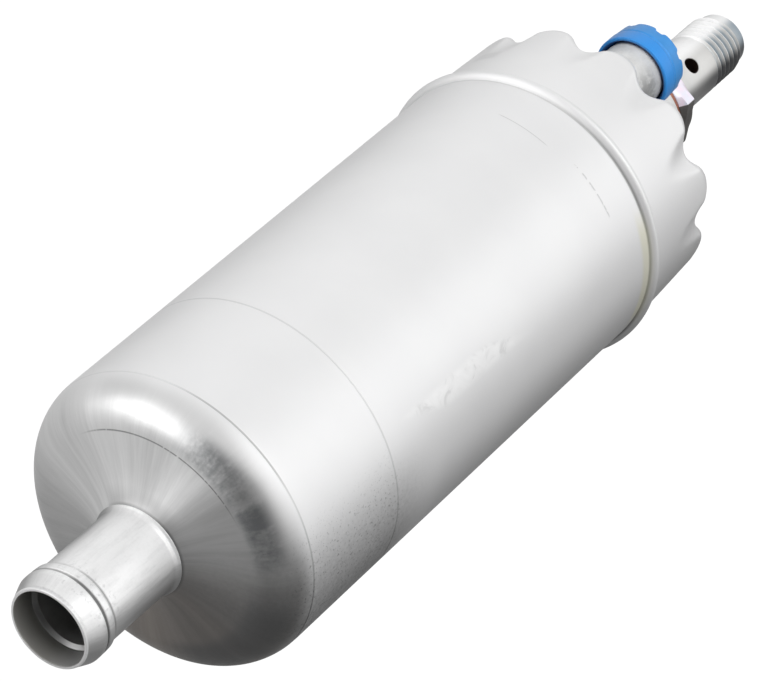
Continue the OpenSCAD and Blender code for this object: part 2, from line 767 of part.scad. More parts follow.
module brush(angle) {
  difference() {
    block(angle, brush_x, commutator_r - 1, brush_in + brush_l, brush_w, brush_t);
    rod(commutator_x - 1, commutator_x + commutator_l + 1, brush_in);
  }
}
module brush_positive() { color("dimgray") brush(upper_at); }
module brush_negative() { color("dimgray") brush(lower_at); }

module brush_spring(angle) {
  wire = 0.2;
  start = brush_in + brush_l + coil_gap;
  out(angle, start) translate([brush_x - origin_x, 0, 0]) rotate([-90, 0, 0])
    coil(4, brush_t / 2 - 0.5, wire, guide_out - guide_wall - start - coil_gap);
}
module brush_spring_positive() { color("silver") brush_spring(upper_at); }
module brush_spring_negative() { color("silver") brush_spring(lower_at); }

// Strips from the guides through the brush plate to the heads of the terminals
module contact_strips() {
  x1 = cap_x + pocket_t - head_t - seat_gap;
  color("goldenrod") for (a = [upper_at, lower_at]) out(a, terminal_ring_r)
    translate([guide_x - origin_x, -strip_t / 2, -strip_w / 2]) cube([x1 - guide_x, strip_t, strip_w]);
}

module rear_bush() {
  color("peru") tube(cap_x + 0.2, cap_x + 0.2 + bush_l, bush_r, shaft_r + run_gap / 2, small);
}

module end_cap() {
  edge = 0.8;
  boss_r = centre_boss_d / 2;
  foot = 1.2;
  rib_h = 4;
  rib_w = 2.5;
  passage_r = 1.5;
  color("silver")
    difference() {
      union() {
        difference() {
          turned(concat(
            [[cap_x, 0], [cap_x, cap_radius(cap_x)], [groove_x, cap_radius(groove_x)], [groove_x, groove_r],
             [groove_x + groove_w, groove_r], [groove_x + groove_w, cap_radius(groove_x + groove_w)]],
            [[cap_seat_x - edge, cap_radius(cap_seat_x - edge)], [cap_seat_x, cap_radius(cap_seat_x) - edge],
             [cap_seat_x, rim_r - lip_r - 0.6], [face_x, rim_r - lip_r - 1.4], [face_x, 0]]));
          flutes(can_wall + seat_gap);
        }
        rod(face_x - 1, boss_top_x, boss_r);
        turned([[face_x - 1, 0], [face_x - 1, boss_r + foot], [face_x, boss_r + foot],
          [face_x + foot, boss_r], [face_x + foot + 1, 0]]);
        pin(upper_at, terminal_ring_r, face_x - 1, post_x, post_d / 2);
        pin(lower_at, terminal_ring_r, face_x - 1, low_post_x, low_post_d / 2);
        for (a = [0, 180]) out(a, 0) translate([face_x - 1 - origin_x, 0, -rib_w / 2])
          cube([rib_h + 1, rim_r - lip_r - 2.2, rib_w]);
      }
      rod(cap_x - 1, shaft_end_x + 1, bush_r + seat_gap, small);
      rod(spigot_x - 4, boss_top_x + 1, stud_d / 2 + seat_gap, small);
      for (a = [0:60:300]) pin(a, bush_r + passage_r + 0.8, cap_x - 1, spigot_x - 2, passage_r, 24);
      pin(upper_at, terminal_ring_r, cap_x - 1, post_x + 1, upper_r + sleeve_wall + seat_gap);
      pin(upper_at, terminal_ring_r, cap_x - 1, cap_x + pocket_t, upper_r + head_rim + 0.3);
      pin(lower_at, terminal_ring_r, cap_x - 1, low_post_x + 1, lower_r + sleeve_wall + seat_gap);
      pin(lower_at, terminal_ring_r, cap_x - 1, cap_x + pocket_t, lower_r + head_rim + 0.3);
    }
}

module cap_seal() {
  color("darkolivegreen") along(groove_x + groove_w / 2)
    rotate_extrude($fn = fine) translate([groove_r + run_gap + seal_d / 2, 0])
      circle(r = seal_d / 2, $fn = 24);
}

module terminal_collar() {
  r = collar_d / 2;
  fit_r = post_d / 2 + seat_gap;
  end_x = collar_x + collar_l;
  mid_x = collar_x + collar_l * 0.46;
  floor_x = post_x + seat_gap;
  rim_t = 2.2;
  notch = 1.6;
  color("royalblue")
    difference() {
      out(upper_at, terminal_ring_r) turned([
        [collar_x, fit_r + 0.7], [collar_x, r - 0.3], [collar_x + 0.3, r], [mid_x - 0.2, r],
        [mid_x, r - 0.25], [mid_x + 0.25, r - 0.25], [mid_x + 0.45, r - 0.1], [end_x - 0.4, r - 0.2],
        [end_x, r - 0.6],
        [end_x, r - rim_t], [floor_x + 1, r - rim_t], [floor_x + 1, upper_r + sleeve_wall + seat_gap],
        [floor_x, upper_r + sleeve_wall + seat_gap], [floor_x, fit_r], [collar_x + 0.9, fit_r]]);
      out(upper_at, terminal_ring_r) for (i = [0:collar_notches - 1])
        rotate([i * 360 / collar_notches, 0, 0])
          translate([end_x - 0.9 - origin_x, r - rim_t - 0.5, -notch / 2]) cube([2, rim_t + 2, notch]);
    }
}

// Insulating sleeves between the terminals and the end cap
module terminal_sleeves() {
  color("ivory") {
    for (t = [[upper_at, upper_r, post_x + 1], [lower_at, lower_r, low_post_x + 1]])
      out(t[0], terminal_ring_r) tube(cap_x + pocket_t, t[2], t[1] + sleeve_wall, t[1] + seat_gap, small);
  }
}

// Terminal with its head inside the end cap
module terminal(angle, r, end_x) {
  pin(angle, terminal_ring_r, cap_x + pocket_t - head_t, cap_x + pocket_t - seat_gap, r + head_rim, small);
  pin(angle, terminal_ring_r, cap_x + pocket_t - head_t, end_x - 0.5, r, small);
  out(angle, terminal_ring_r) along(end_x - 0.5) cylinder(h = 0.5, r1 = r, r2 = r - 0.5, $fn = small);
}
module upper_terminal() { color("gold") terminal(upper_at, upper_r, post_x + upper_free_l); }
module lower_terminal() { color("gold") terminal(lower_at, lower_r, low_post_x + lower_free_l); }

module lower_insulator() {
  r = low_post_d / 2;
  x0 = low_post_x + seat_gap;
  hole_r = lower_r + sleeve_wall + seat_gap;
  color("saddlebrown")
    out(lower_at, terminal_ring_r) turned([
      [x0 - 1, r + seat_gap], [x0 - 1, r + 0.8], [x0 + 1.2, r + 0.8], [x0 + 1.8, r + 0.2],
      [x0 + 1.8, hole_r], [x0, hole_r], [x0, r + seat_gap]]);
}

module terminal_washers() {
  rim = 2.6;
  color("silver") for (t = [[upper_at, upper_seat_x, upper_r], [lower_at, lower_seat_x, lower_r]])
    out(t[0], terminal_ring_r) tube(t[1], t[1] + disc_t, t[2] + rim, t[2] + loose_gap, small);
}

// Hexagon nut with chamfered corners, along the pump axis
module nut(angle, x, af, height, bore_r) {
  corner = af / sqrt(3);
  out(angle, terminal_ring_r) difference() {
    intersection() {
      along(x) cylinder(h = height, r = corner, $fn = 6);
      turned([[x, 0], [x, af / 2], [x + corner - af / 2, corner], [x + height - corner + af / 2, corner],
        [x + height, af / 2], [x + height, 0]], small);
    }
    rod(x - 1, x + height + 1, bore_r, small);
  }
}

module terminal_nuts() {
  color("silver") {
    nut(upper_at, upper_seat_x + disc_t + seat_gap, upper_nut_af, upper_thread_d * 0.8, upper_r + seat_gap);
    nut(lower_at, lower_seat_x + disc_t + seat_gap, lower_nut_af, lower_thread_d * 0.8, lower_r + seat_gap);
  }
}

module sealing_washer() {
  color("chocolate") tube(boss_top_x, hex_x, washer_d / 2, stud_d / 2 + 0.1, small);
}

module outlet_stud() {
  corner = hex_af / sqrt(3);
  chamfer = 0.7;
  color("lightgray")
    difference() {
      union() {
        rod(spigot_x, hex_x + eps, stud_d / 2, small);
        intersection() {
          rotate([hex_flat_at, 0, 0]) along(hex_x) rotate(30) cylinder(h = hex_t, r = corner, $fn = 6);
          turned([[hex_x, 0], [hex_x, hex_af / 2], [hex_x + chamfer, corner],
            [hex_x + hex_t - chamfer, corner], [hex_x + hex_t, hex_af / 2 - 0.1], [hex_x + hex_t, 0]]);
        }
        rod(hex_x + 1, lead_x, shank_r, small);
        along(lead_x) cylinder(h = lead_l, r1 = shank_r - 0.3, r2 = shank_r - 0.7, $fn = small);
      }
      rod(spigot_x - 1, valve_end_x, valve_r, small);
      rotate([hex_flat_at, 0, 0]) translate([cross_x - origin_x, 0, 0])
        rotate([90, 0, 0]) cylinder(h = stud_d + 4, r = cross_hole_d / 2, center = true, $fn = small);
    }
}

module valve_seat() {
  color("goldenrod") tube(seat_x - seat_l, seat_x, valve_r - seat_gap, valve_r - seat_wall, small);
}

module check_valve() {
  seal_r = valve_r - 0.5;
  stem_r = 1.1;
  stop_x = valve_end_x - check_lift - seat_gap;
  head_x = check_x + valve_head_t;
  guide_x0 = check_x - seat_l + 1.5;
  vane_r = valve_r - seat_wall - run_gap;
  vane_t = 0.8;
  color("black") union() {
    turned([[check_x, 0], [check_x, seal_r - 0.4], [check_x + 0.4, seal_r], [head_x - 0.4, seal_r],
      [head_x, seal_r - 0.8], [head_x, stem_r], [stop_x - 0.5, stem_r], [stop_x, stem_r - 0.4],
      [stop_x, 0]], small);
    rod(guide_x0, check_x + 1, stem_r - 0.2, small);
    for (a = [0, 90]) rotate([a, 0, 0]) translate([guide_x0 - origin_x, -vane_r, -vane_t / 2])
      cube([seat_l - 2, 2 * vane_r, vane_t]);
  }
}

module check_spring() {
  start = check_x + valve_head_t + coil_gap;
  color("silver") along(start) coil(7, valve_r - 1.5, 0.25, valve_end_x - start - coil_gap);
}

casing();
inlet_nozzle();
inlet_strainer();
pack_cushion();
inlet_plate();
front_bush();
impeller_housing();
impeller();
rotor_housing();
inner_rotor();
outer_rotor();
pressure_plate();
relief_ball();
relief_spring();
pump_screws();
flux_ring();
magnets();
magnet_clips();
armature_shaft();
armature_core();
windings();
commutator_hub();
commutator_bars();
brush_plate();
brush_guides();
brush_positive();
brush_negative();
brush_spring_positive();
brush_spring_negative();
contact_strips();
rear_bush();
end_cap();
cap_seal();
terminal_collar();
terminal_sleeves();
upper_terminal();
lower_terminal();
lower_insulator();
terminal_washers();
terminal_nuts();
sealing_washer();
outlet_stud();
valve_seat();
check_valve();
check_spring();
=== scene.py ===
"""Looks of an in-line electric fuel pump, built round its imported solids.

The pump axis is X, from the hose nozzle to the outlet stud, and +Z is up. Sizes are in millimetres, and
stations are counted along the axis from the nozzle's tip. Angles run from +Y towards +Z, in degrees.
"""
import json
import math

import bmesh
import bpy
import numpy as np
from mathutils import Matrix, Vector


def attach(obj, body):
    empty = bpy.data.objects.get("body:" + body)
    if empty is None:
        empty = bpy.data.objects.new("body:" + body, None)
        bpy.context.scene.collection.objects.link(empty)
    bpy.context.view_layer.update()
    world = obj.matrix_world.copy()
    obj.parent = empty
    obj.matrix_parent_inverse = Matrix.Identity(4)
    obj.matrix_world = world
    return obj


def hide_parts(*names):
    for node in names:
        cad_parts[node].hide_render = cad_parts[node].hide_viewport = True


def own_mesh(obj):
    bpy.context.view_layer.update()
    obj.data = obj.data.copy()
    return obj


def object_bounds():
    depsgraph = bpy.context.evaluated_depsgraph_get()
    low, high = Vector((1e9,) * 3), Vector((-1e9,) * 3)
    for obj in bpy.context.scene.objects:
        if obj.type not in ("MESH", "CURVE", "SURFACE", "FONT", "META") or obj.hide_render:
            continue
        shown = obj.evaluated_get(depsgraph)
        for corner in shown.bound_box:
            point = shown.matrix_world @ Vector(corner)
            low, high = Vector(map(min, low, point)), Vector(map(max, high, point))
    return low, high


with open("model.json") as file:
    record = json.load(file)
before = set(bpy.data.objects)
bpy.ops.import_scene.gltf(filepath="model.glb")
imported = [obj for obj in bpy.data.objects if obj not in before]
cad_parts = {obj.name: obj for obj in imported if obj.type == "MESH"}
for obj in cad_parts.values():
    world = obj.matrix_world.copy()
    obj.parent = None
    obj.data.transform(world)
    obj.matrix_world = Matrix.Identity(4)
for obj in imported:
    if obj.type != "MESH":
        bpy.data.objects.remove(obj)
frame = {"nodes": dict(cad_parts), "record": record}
CAD_BOX = [list(corner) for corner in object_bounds()]
MM = 0.001
FULL_TURN = 2 * np.pi

# Hose nozzle
NOZZLE_LEN = 24.3
NOZZLE_R = 7.85
HOSE_BEAD_R = 8.4
LIP_EDGE_R = 6.88
STEP_X = 4.4
BORE_R = 6.08
THROAT_X = 12.0
THROAT_R = 5.3

# Can
CAN_R = 27.0
CAN_WALL = 1.5
NOSE_R = 8.0
NOSE_SLOPE = math.radians(8)
NECK_RISE = 1.6
NECK_W = 3.0
SHOULDER_X = (NOZZLE_LEN + (CAN_R - NOSE_R + NOSE_R * math.sin(NOSE_SLOPE) - NOZZLE_R) * math.tan(NOSE_SLOPE)
              + NOSE_R * math.cos(NOSE_SLOPE))
CLAMP_LEN = 100.0
ORIGIN_X = SHOULDER_X + CLAMP_LEN / 2
RING_LINES = (32.6, 56.0)
LINE_DEPTH = 0.05
LINE_W = 0.36
BEAD_X = SHOULDER_X + CLAMP_LEN
BEAD_W = 2.4
BEAD_H = 1.18

# Crimped rim
RIM_X = BEAD_X + BEAD_W
RIM_END_X = BEAD_X + BEAD_W / 2 + 21.4
RIM_TAPER = 0.55
LIP_R = 2.4
LIP_X = RIM_END_X - LIP_R
LIP_HOLE_R = CAN_R - RIM_TAPER - LIP_R
LOBES = 12
DENT_L = 3.5
DENT_X = RIM_END_X - DENT_L
DENT_POWER = 2.3
DENT_TIGHTER = 1.1
DENT_INWARDS = 0.9
FLUTE_R = 6.0
FLUTE_DEPTH = 1.2
FLUTE_LEN = 6.0

# End cap and its bosses
SEAT_X = DENT_X - CAN_WALL - 0.02
CAP_X = SEAT_X - 11.9
FACE_X = SEAT_X - 1.1
BOSS_R = 9.2
BOSS_TOP = FACE_X + 24.6
RIB_END_R = 21.85
TERMINAL_RING = 17.2
POST_R = 6.05
POST_TOP = FACE_X + 14.6
LOW_POST_R = 5.7
LOW_POST_TOP = FACE_X + 12.0

# Terminals
COLLAR_X = POST_TOP - 2.4
COLLAR_R = 7.32
COLLAR_L = 6.3
NOTCHES = 8
POCKET_X = CAP_X + 2.8
ROD_X = POCKET_X - 1.6
UPPER_R = 2.0
LOWER_R = 2.5
UPPER_SEAT = POST_TOP + 1.04
LOWER_SEAT = LOW_POST_TOP + 1.84
SLEEVE = 1.4
DISC_T = 0.8

# Outlet stud
WASHER_IN_R = 6.1
WASHER_R = 8.35
HEX_X = BOSS_TOP + 1.5
HEX_AF = 17.0
HEX_T = 3.9
HEX_AT = 111.0
SPIGOT_R = 6.0
SPIGOT_L = 6.0
SHANK_R = 5.95
SHANK_X = HEX_X + HEX_T
HOLE_X = SHANK_X + 7.4
HOLE_R = 1.5
THREAD_X = SHANK_X + 13.3
LEAD_X = THREAD_X + 8.8
TIP_X = LEAD_X + 2.7
PITCH = 1.5

# Springs inside: piece, node, joint, its travel, the way it moves, the spring's fixed end seen from the middle,
# its turns, the coil's radius, the wire's radius and the length
SPRINGS = (
    ("relief_coil", "relief_spring", "relief_lift", 1.5, (-1, 0, 0), (-31.56, 0, -20.8), 6, 1.25, 0.25, 11.15),
    ("check_coil", "check_spring", "check_lift", 2.2, (1, 0, 0), (115.0, 0, 0), 7, 2.3, 0.25, 19.44),
    ("upper_brush_coil", "brush_spring_positive", "upper_brush_slide", 3.0, (0, 0, 1), (46.38, 0, 21.19),
     4, 1.8, 0.2, 5.58),
    ("lower_brush_coil", "brush_spring_negative", "lower_brush_slide", 3.0, (0, 0, -1), (46.38, 0, -21.19),
     4, 1.8, 0.2, 5.58),
)


# ------ shapes

def rounded(corners, radii, steps):
    """Profile through the corners, each rounded by an arc that touches both of its sides, in steps a right angle.

    The arc's centre lies on the line that halves the corner, its radius over the sine of half the corner's
    angle away, and its ends lie that radius over the tangent of half the angle from the corner.
    """
    corners = np.asarray(corners, float)
    out = []
    for i, (corner, radius) in enumerate(zip(corners, radii)):
        if radius <= 0 or i in (0, len(corners) - 1):
            out.append(corner[None])
            continue
        back = corners[i - 1] - corner
        ahead = corners[i + 1] - corner
        back /= np.linalg.norm(back)
        ahead /= np.linalg.norm(ahead)
        half = math.acos(np.clip(back @ ahead, -1, 1)) / 2
        middle = (back + ahead) / np.linalg.norm(back + ahead)
        centre = corner + middle * radius / math.sin(half)
        start = corner + back * radius / math.tan(half) - centre
        end = corner + ahead * radius / math.tan(half) - centre
        turn = math.pi - 2 * half
        t = np.linspace(0, 1, max(2, math.ceil(steps * turn / (math.pi / 2)) + 1))[:, None]
        arc = (np.sin((1 - t) * turn) * start + np.sin(t * turn) * end) / math.sin(turn)
        out.append(centre + arc)
    return np.concatenate(out)


def placed(name, data):
    """A new object in the scene."""
    thing = bpy.data.objects.new(name, data)
    bpy.context.scene.collection.objects.link(thing)
    return thing


def circle(columns):
    """Angles of so many columns round the axis."""
    return np.linspace(0, FULL_TURN, columns, endpoint=False)


def turned(station, radius, angle):
    """Points round the axis: x = station, y = radius cos angle, z = radius sin angle."""
    return np.stack(np.broadcast_arrays(station, radius * np.cos(angle), radius * np.sin(angle)), axis=-1)


def revolved(profile, columns):
    """Grid of a profile of (station, radius) rows turned about the axis."""
    station, radius = np.asarray(profile, float).T[..., None]
    return turned(station, radius, circle(columns))


def moved(points, z):
    """The points raised by z."""
    return points + np.array([0.0, 0.0, z])


def capped(grid):
    """The grid with a row more at each end, drawn together in the middle of its last row."""
    first, last = (np.broadcast_to(grid[i].mean(0), grid[i].shape)[None] for i in (0, -1))
    return np.concatenate([first, grid, last])


def quads(rows, columns, wrap_rows):
    """Corner numbers of the faces of a grid that is closed round its columns, and over its rows where it wraps."""
    r = np.arange(rows if wrap_rows else rows - 1)[:, None]
    c = np.arange(columns)[None, :]
    r2, c2 = (r + 1) % rows, (c + 1) % columns
    return np.stack(np.broadcast_arrays(r * columns + c, r * columns + c2, r2 * columns + c2,
                                        r2 * columns + c), axis=-1).reshape(-1, 4)


class Skin:
    """Grids of points gathered into one mesh."""

    def __init__(self):
        self.points, self.faces, self.count = [], [], 0

    def add(self, grid, wrap_rows=False, keep=None):
        """Takes a grid in, with only the faces to keep if they are given."""
        rows, columns = grid.shape[:2]
        faces = quads(rows, columns, wrap_rows)
        if keep is not None:
            faces = faces[keep.reshape(-1)]
        self.points.append(grid.reshape(-1, 3))
        self.faces.append(faces + self.count)
        self.count += rows * columns
        return self

    def piece(self, name, material, body, nodes, slot, sharp=35):
        """The mesh as a piece of the pump: doubles merged, faces turned outwards, edges sharp past an angle."""
        points = (np.concatenate(self.points) - [ORIGIN_X, 0, 0]) * MM
        faces = np.concatenate(self.faces)
        mesh = bpy.data.meshes.new(name)
        mesh.vertices.add(len(points))
        mesh.vertices.foreach_set("co", points.astype(np.float32).ravel())
        mesh.loops.add(faces.size)
        mesh.loops.foreach_set("vertex_index", faces.astype(np.int32).ravel())
        mesh.polygons.add(len(faces))
        mesh.polygons.foreach_set("loop_start", np.arange(0, faces.size, 4, dtype=np.int32))
        mesh.update(calc_edges=True)
        shape = bmesh.new()
        shape.from_mesh(mesh)
        bmesh.ops.remove_doubles(shape, verts=shape.verts, dist=2e-6)
        bmesh.ops.dissolve_degenerate(shape, edges=shape.edges, dist=1e-6)
        bmesh.ops.recalc_face_normals(shape, faces=shape.faces)
        shape.to_mesh(mesh)
        shape.free()
        mesh.polygons.foreach_set("use_smooth", np.ones(len(mesh.polygons), bool))
        mesh.set_sharp_from_angle(angle=math.radians(sharp))
        mesh.materials.append(material)
        thing = placed(name, mesh)
        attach(thing, body)
        if nodes:
            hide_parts(*nodes)
        return thing


def from_dent(angle):
    """Share of the way from the middle of the nearest dent, 0, to the middle of a lobe, 1."""
    return 2 * np.abs((angle * LOBES / FULL_TURN) % 1 - 0.5)


def rim_taper(station):
    """How much the rim's radius is less than the can's: evenly more from its start to its lip."""
    return RIM_TAPER * np.clip((station - RIM_X) / (LIP_X - RIM_X), 0, 1)


def flute_depth(station, angle, soft=0.14, run_in=3):
    """How deep the flutes below the dents are pressed in.

    Each flute is a leaning cylinder's print: the rim's radius less the cylinder's near side, which is its axis'
    radius less the root of its own radius squared less the sideways distance squared, softened at the rim.
    """
    aside = from_dent(angle) * np.pi * CAN_R / LOBES
    axis = CAN_R + FLUTE_R - FLUTE_DEPTH - RIM_TAPER + (DENT_X - station) * FLUTE_DEPTH / FLUTE_LEN
    print_r = axis - np.sqrt(np.maximum(FLUTE_R ** 2 - aside ** 2, 0.01))
    rim = CAN_R - rim_taper(station)
    return soft * np.logaddexp(0, (rim - print_r) / soft) * np.clip((station - RIM_X) / run_in, 0, 1)


def can_skin():
    """The drawn can, closed from its outer skin over the crimped edge to its inner skin.

    In front of the rim it is a profile turned about the axis: a slanting face, drawn out into a neck by the neck's
    rise times e to the minus distance from the nozzle over the neck's width, a round shoulder, ring lines pressed
    in as parabolas, and a bead raised as a power of a sine. In the rim each column of the grid runs straight back,
    turns inwards by a quarter circle and ends at the rounded edge of the sheet. How far back it turns is a wave
    round the rim: the end of the lobes less the dents' depth times a power of the cosine of the way from the dent.
    The turn is tighter in the dents than on the lobes.
    """
    angle = circle(40 * LOBES)
    shoulder_r = CAN_R - NOSE_R
    hub_r = NOZZLE_R + 0.02

    def nose(inset, rows):
        """Face and shoulder, inset from the outer skin, with the neck in the outer skin alone."""
        turn = np.linspace(NOSE_SLOPE - np.pi / 2, 0, rows)
        arc = np.stack([SHOULDER_X + (NOSE_R - inset) * np.sin(turn),
                        shoulder_r + (NOSE_R - inset) * np.cos(turn)], axis=1)
        face_r = hub_r + (arc[0, 1] - hub_r) * np.linspace(0, 1, 22)[:-1] ** 1.8
        neck = NECK_RISE * np.exp(-(face_r - NOZZLE_R) / NECK_W) * (inset == 0)
        face = np.stack([arc[0, 0] - (arc[0, 1] - face_r) * math.tan(NOSE_SLOPE) - neck, face_r], axis=1)
        return np.concatenate([face, arc])

    lines = []
    for station in RING_LINES:
        across = np.array([-2.6, -1.5, -1, -0.67, -0.33, 0, 0.33, 0.67, 1, 1.5, 2.6])
        x = station + across * LINE_W / 2
        on_shoulder = shoulder_r + np.sqrt(NOSE_R ** 2 - np.minimum(x - SHOULDER_X, 0) ** 2)
        base = np.where(x < SHOULDER_X, on_shoulder, CAN_R)
        lines.append(np.stack([x, base - LINE_DEPTH * np.maximum(1 - across ** 2, 0)], axis=1))
    front = nose(0, 26)
    front = front[front[:, 0] < RING_LINES[0] - 1.5 * LINE_W]
    after_line = [[SHOULDER_X + 0.3, CAN_R], [SHOULDER_X + 2, CAN_R]]
    plain = [[BEAD_X - back, CAN_R] for back in (74, 40, 6, 1.0, 0.35)]
    hump = np.linspace(0, 1, 13)
    bead = np.stack([BEAD_X + BEAD_W * hump, CAN_R + BEAD_H * np.sin(np.pi * hump) ** 0.9], axis=1)
    outer = revolved(np.concatenate([front, lines[0], after_line, lines[1], plain, bead]), len(angle))
    inner = revolved(np.concatenate([[[RIM_X - 1, CAN_R - CAN_WALL]], nose(CAN_WALL, 9)[::-1]]), len(angle))

    dent = np.cos(from_dent(angle) * np.pi / 2) ** DENT_POWER
    top = RIM_END_X - DENT_L * dent
    bend = LIP_R - DENT_TIGHTER * dent
    hole = LIP_HOLE_R - DENT_INWARDS * dent

    def side(x, depth=0.0):
        """Radius of the rim's side at a station, less a depth below its outer skin."""
        return CAN_R - rim_taper(x) - flute_depth(x, angle) - depth

    start = top - bend
    x = RIM_X + (start - RIM_X) * (1 - (1 - np.linspace(0, 1, 22)[1:, None]) ** 1.4)
    rows = [turned(x, side(x), angle)]
    turn = np.linspace(0, np.pi / 2, 13)[1:, None]
    rows.append(turned(start + bend * np.sin(turn), side(start) - bend * (1 - np.cos(turn)), angle))
    edge = rounded([(0, -3), (0, 0), (-CAN_WALL, 0), (-CAN_WALL, -3)], (0, 0.4, 0.3, 0), 5)[1:-1]
    rows.append(turned(top + edge[:, :1], np.minimum(hole - edge[:, 1:], side(start) - bend - 0.02), angle))
    inner_bend = np.maximum(bend - CAN_WALL, 0.3)
    turn = np.linspace(np.pi / 2, 0, 5)[:, None]
    under = top - CAN_WALL - inner_bend
    rows.append(turned(under + inner_bend * np.sin(turn),
                       side(start, CAN_WALL) - inner_bend * (1 - np.cos(turn)), angle))
    x = RIM_X + (under - RIM_X) * np.linspace(1, 0, 9)[1:, None]
    rows.append(turned(x, side(x, CAN_WALL), angle))
    return Skin().add(np.concatenate([outer] + rows + [inner]), wrap_rows=True)


def nozzle_skin():
    """The hose nozzle: a closed profile with its lead-in, hose bead and groove outside, and its stepped bore."""
    root_x = NOZZLE_LEN - 1.3
    inside_x = NOZZLE_LEN + 1.2
    lead_in = [(0, LIP_EDGE_R), (0, 7.3), (0.5, 7.46), (2.9, HOSE_BEAD_R), (3.95, HOSE_BEAD_R)]
    bead = [(4.2, 8.1), (4.5, 8.1), (4.75, 8.38), (5.95, 8.3), (6.6, NOZZLE_R)]
    fillet = [(root_x - 1.0, NOZZLE_R), (root_x - 0.35, NOZZLE_R + 0.3), (root_x, NOZZLE_R + 0.62),
              (root_x + 0.45, NOZZLE_R + 0.1), (inside_x, NOZZLE_R - 0.05)]
    bore = [(inside_x, THROAT_R), (THROAT_X, THROAT_R), (THROAT_X - 0.8, BORE_R - 0.03), (STEP_X + 0.7, BORE_R),
            (STEP_X, 6.72), (0.2, 6.8), (0, LIP_EDGE_R)]
    radii = (0, 0.2, 0.3, 1.2, 0.16, 0.1, 0.1, 0.25, 0.3, 0.5, 1.2, 0.6, 0.1, 0.1, 0, 0, 0.4, 0.4, 0.2, 0.2, 0.1, 0)
    return Skin().add(revolved(rounded(lead_in + bead + fillet + bore, radii, 8)[:-1], 144), wrap_rows=True)


def boss(radius, top, hole):
    """A cast boss on the cap: a tube with a flared foot, a slight draft and a rounded top."""
    flare, edge, draft, sunk = 1.3, 0.45, 0.06, 2
    corners = [(FACE_X - sunk, hole), (FACE_X - sunk, radius + flare), (FACE_X, radius + flare),
               (FACE_X, radius + draft), (top, radius - draft), (top, hole), (FACE_X - sunk, hole)]
    return revolved(rounded(corners, (0, 0, 0, flare, edge, 0.25, 0), 7)[:-1], 96)


def cap_skin():
    """The cast end cap: a disc whose edge follows the flutes, with a groove for its seal, and the three bosses."""
    cap_r = CAN_R - CAN_WALL - 0.15
    seat_r = cap_r - RIM_TAPER
    seat_x = SEAT_X - 0.01
    inner_r = LIP_HOLE_R - 1.4
    groove_x, groove_w, groove_r = CAP_X + 0.8, 2.4, CAN_R - RIM_TAPER - CAN_WALL - 2.3
    profile = rounded([(CAP_X, 0), (CAP_X, cap_r - 0.1), (groove_x, cap_r - 0.15), (groove_x, groove_r),
                       (groove_x + groove_w, groove_r), (groove_x + groove_w, cap_r - 0.25), (SEAT_X - 0.8, seat_r),
                       (seat_x, seat_r - 0.8), (seat_x, LIP_HOLE_R - 0.6), (FACE_X, inner_r), (FACE_X, 0.0)],
                      (0, 0.2, 0.1, 0.2, 0.2, 0.1, 0.3, 0.3, 0.2, 0.4, 0), 5)
    disc = revolved(profile, 24 * LOBES)
    angle = np.arctan2(disc[..., 2], disc[..., 1])
    radius = np.hypot(disc[..., 1], disc[..., 2])
    pressed = flute_depth(disc[..., 0], angle) * np.clip((radius - inner_r) / (seat_r - inner_r), 0, 1)
    disc[..., 1:] *= (1 - pressed / np.maximum(radius, 1e-6))[..., None]
    skin = Skin().add(disc)
    skin.add(boss(BOSS_R, BOSS_TOP, SPIGOT_R + 0.02), wrap_rows=True)
    skin.add(moved(boss(POST_R, POST_TOP, UPPER_R + SLEEVE + 0.02), TERMINAL_RING), wrap_rows=True)
    skin.add(moved(boss(LOW_POST_R, LOW_POST_TOP, LOWER_R + SLEEVE + 0.02), -TERMINAL_RING), wrap_rows=True)
    return skin


def rib_skin(side):
    """A cast rib from the centre boss to the rim: a rounded section carried outwards, lower at its end."""
    section = rounded([(-1, -1.45), (4, -1.1), (4, 1.1), (-1, 1.45)], (0, 0.6, 0.6, 0), 6)
    outwards = np.concatenate([[BOSS_R - 1.2], np.linspace(BOSS_R, RIB_END_R, 12), [RIB_END_R]])
    height = np.concatenate([[1], 1 - 0.35 * np.linspace(0, 1, 12) ** 3, [0]])
    x = FACE_X + np.where(section[:, 0] > 0, section[:, 0] * height[:, None], section[:, 0])
    z = side * section[:, 1] * np.where(height > 0, 1, 0.97)[:, None]
    return Skin().add(capped(np.stack(np.broadcast_arrays(x, side * outwards[:, None], z), axis=-1)))


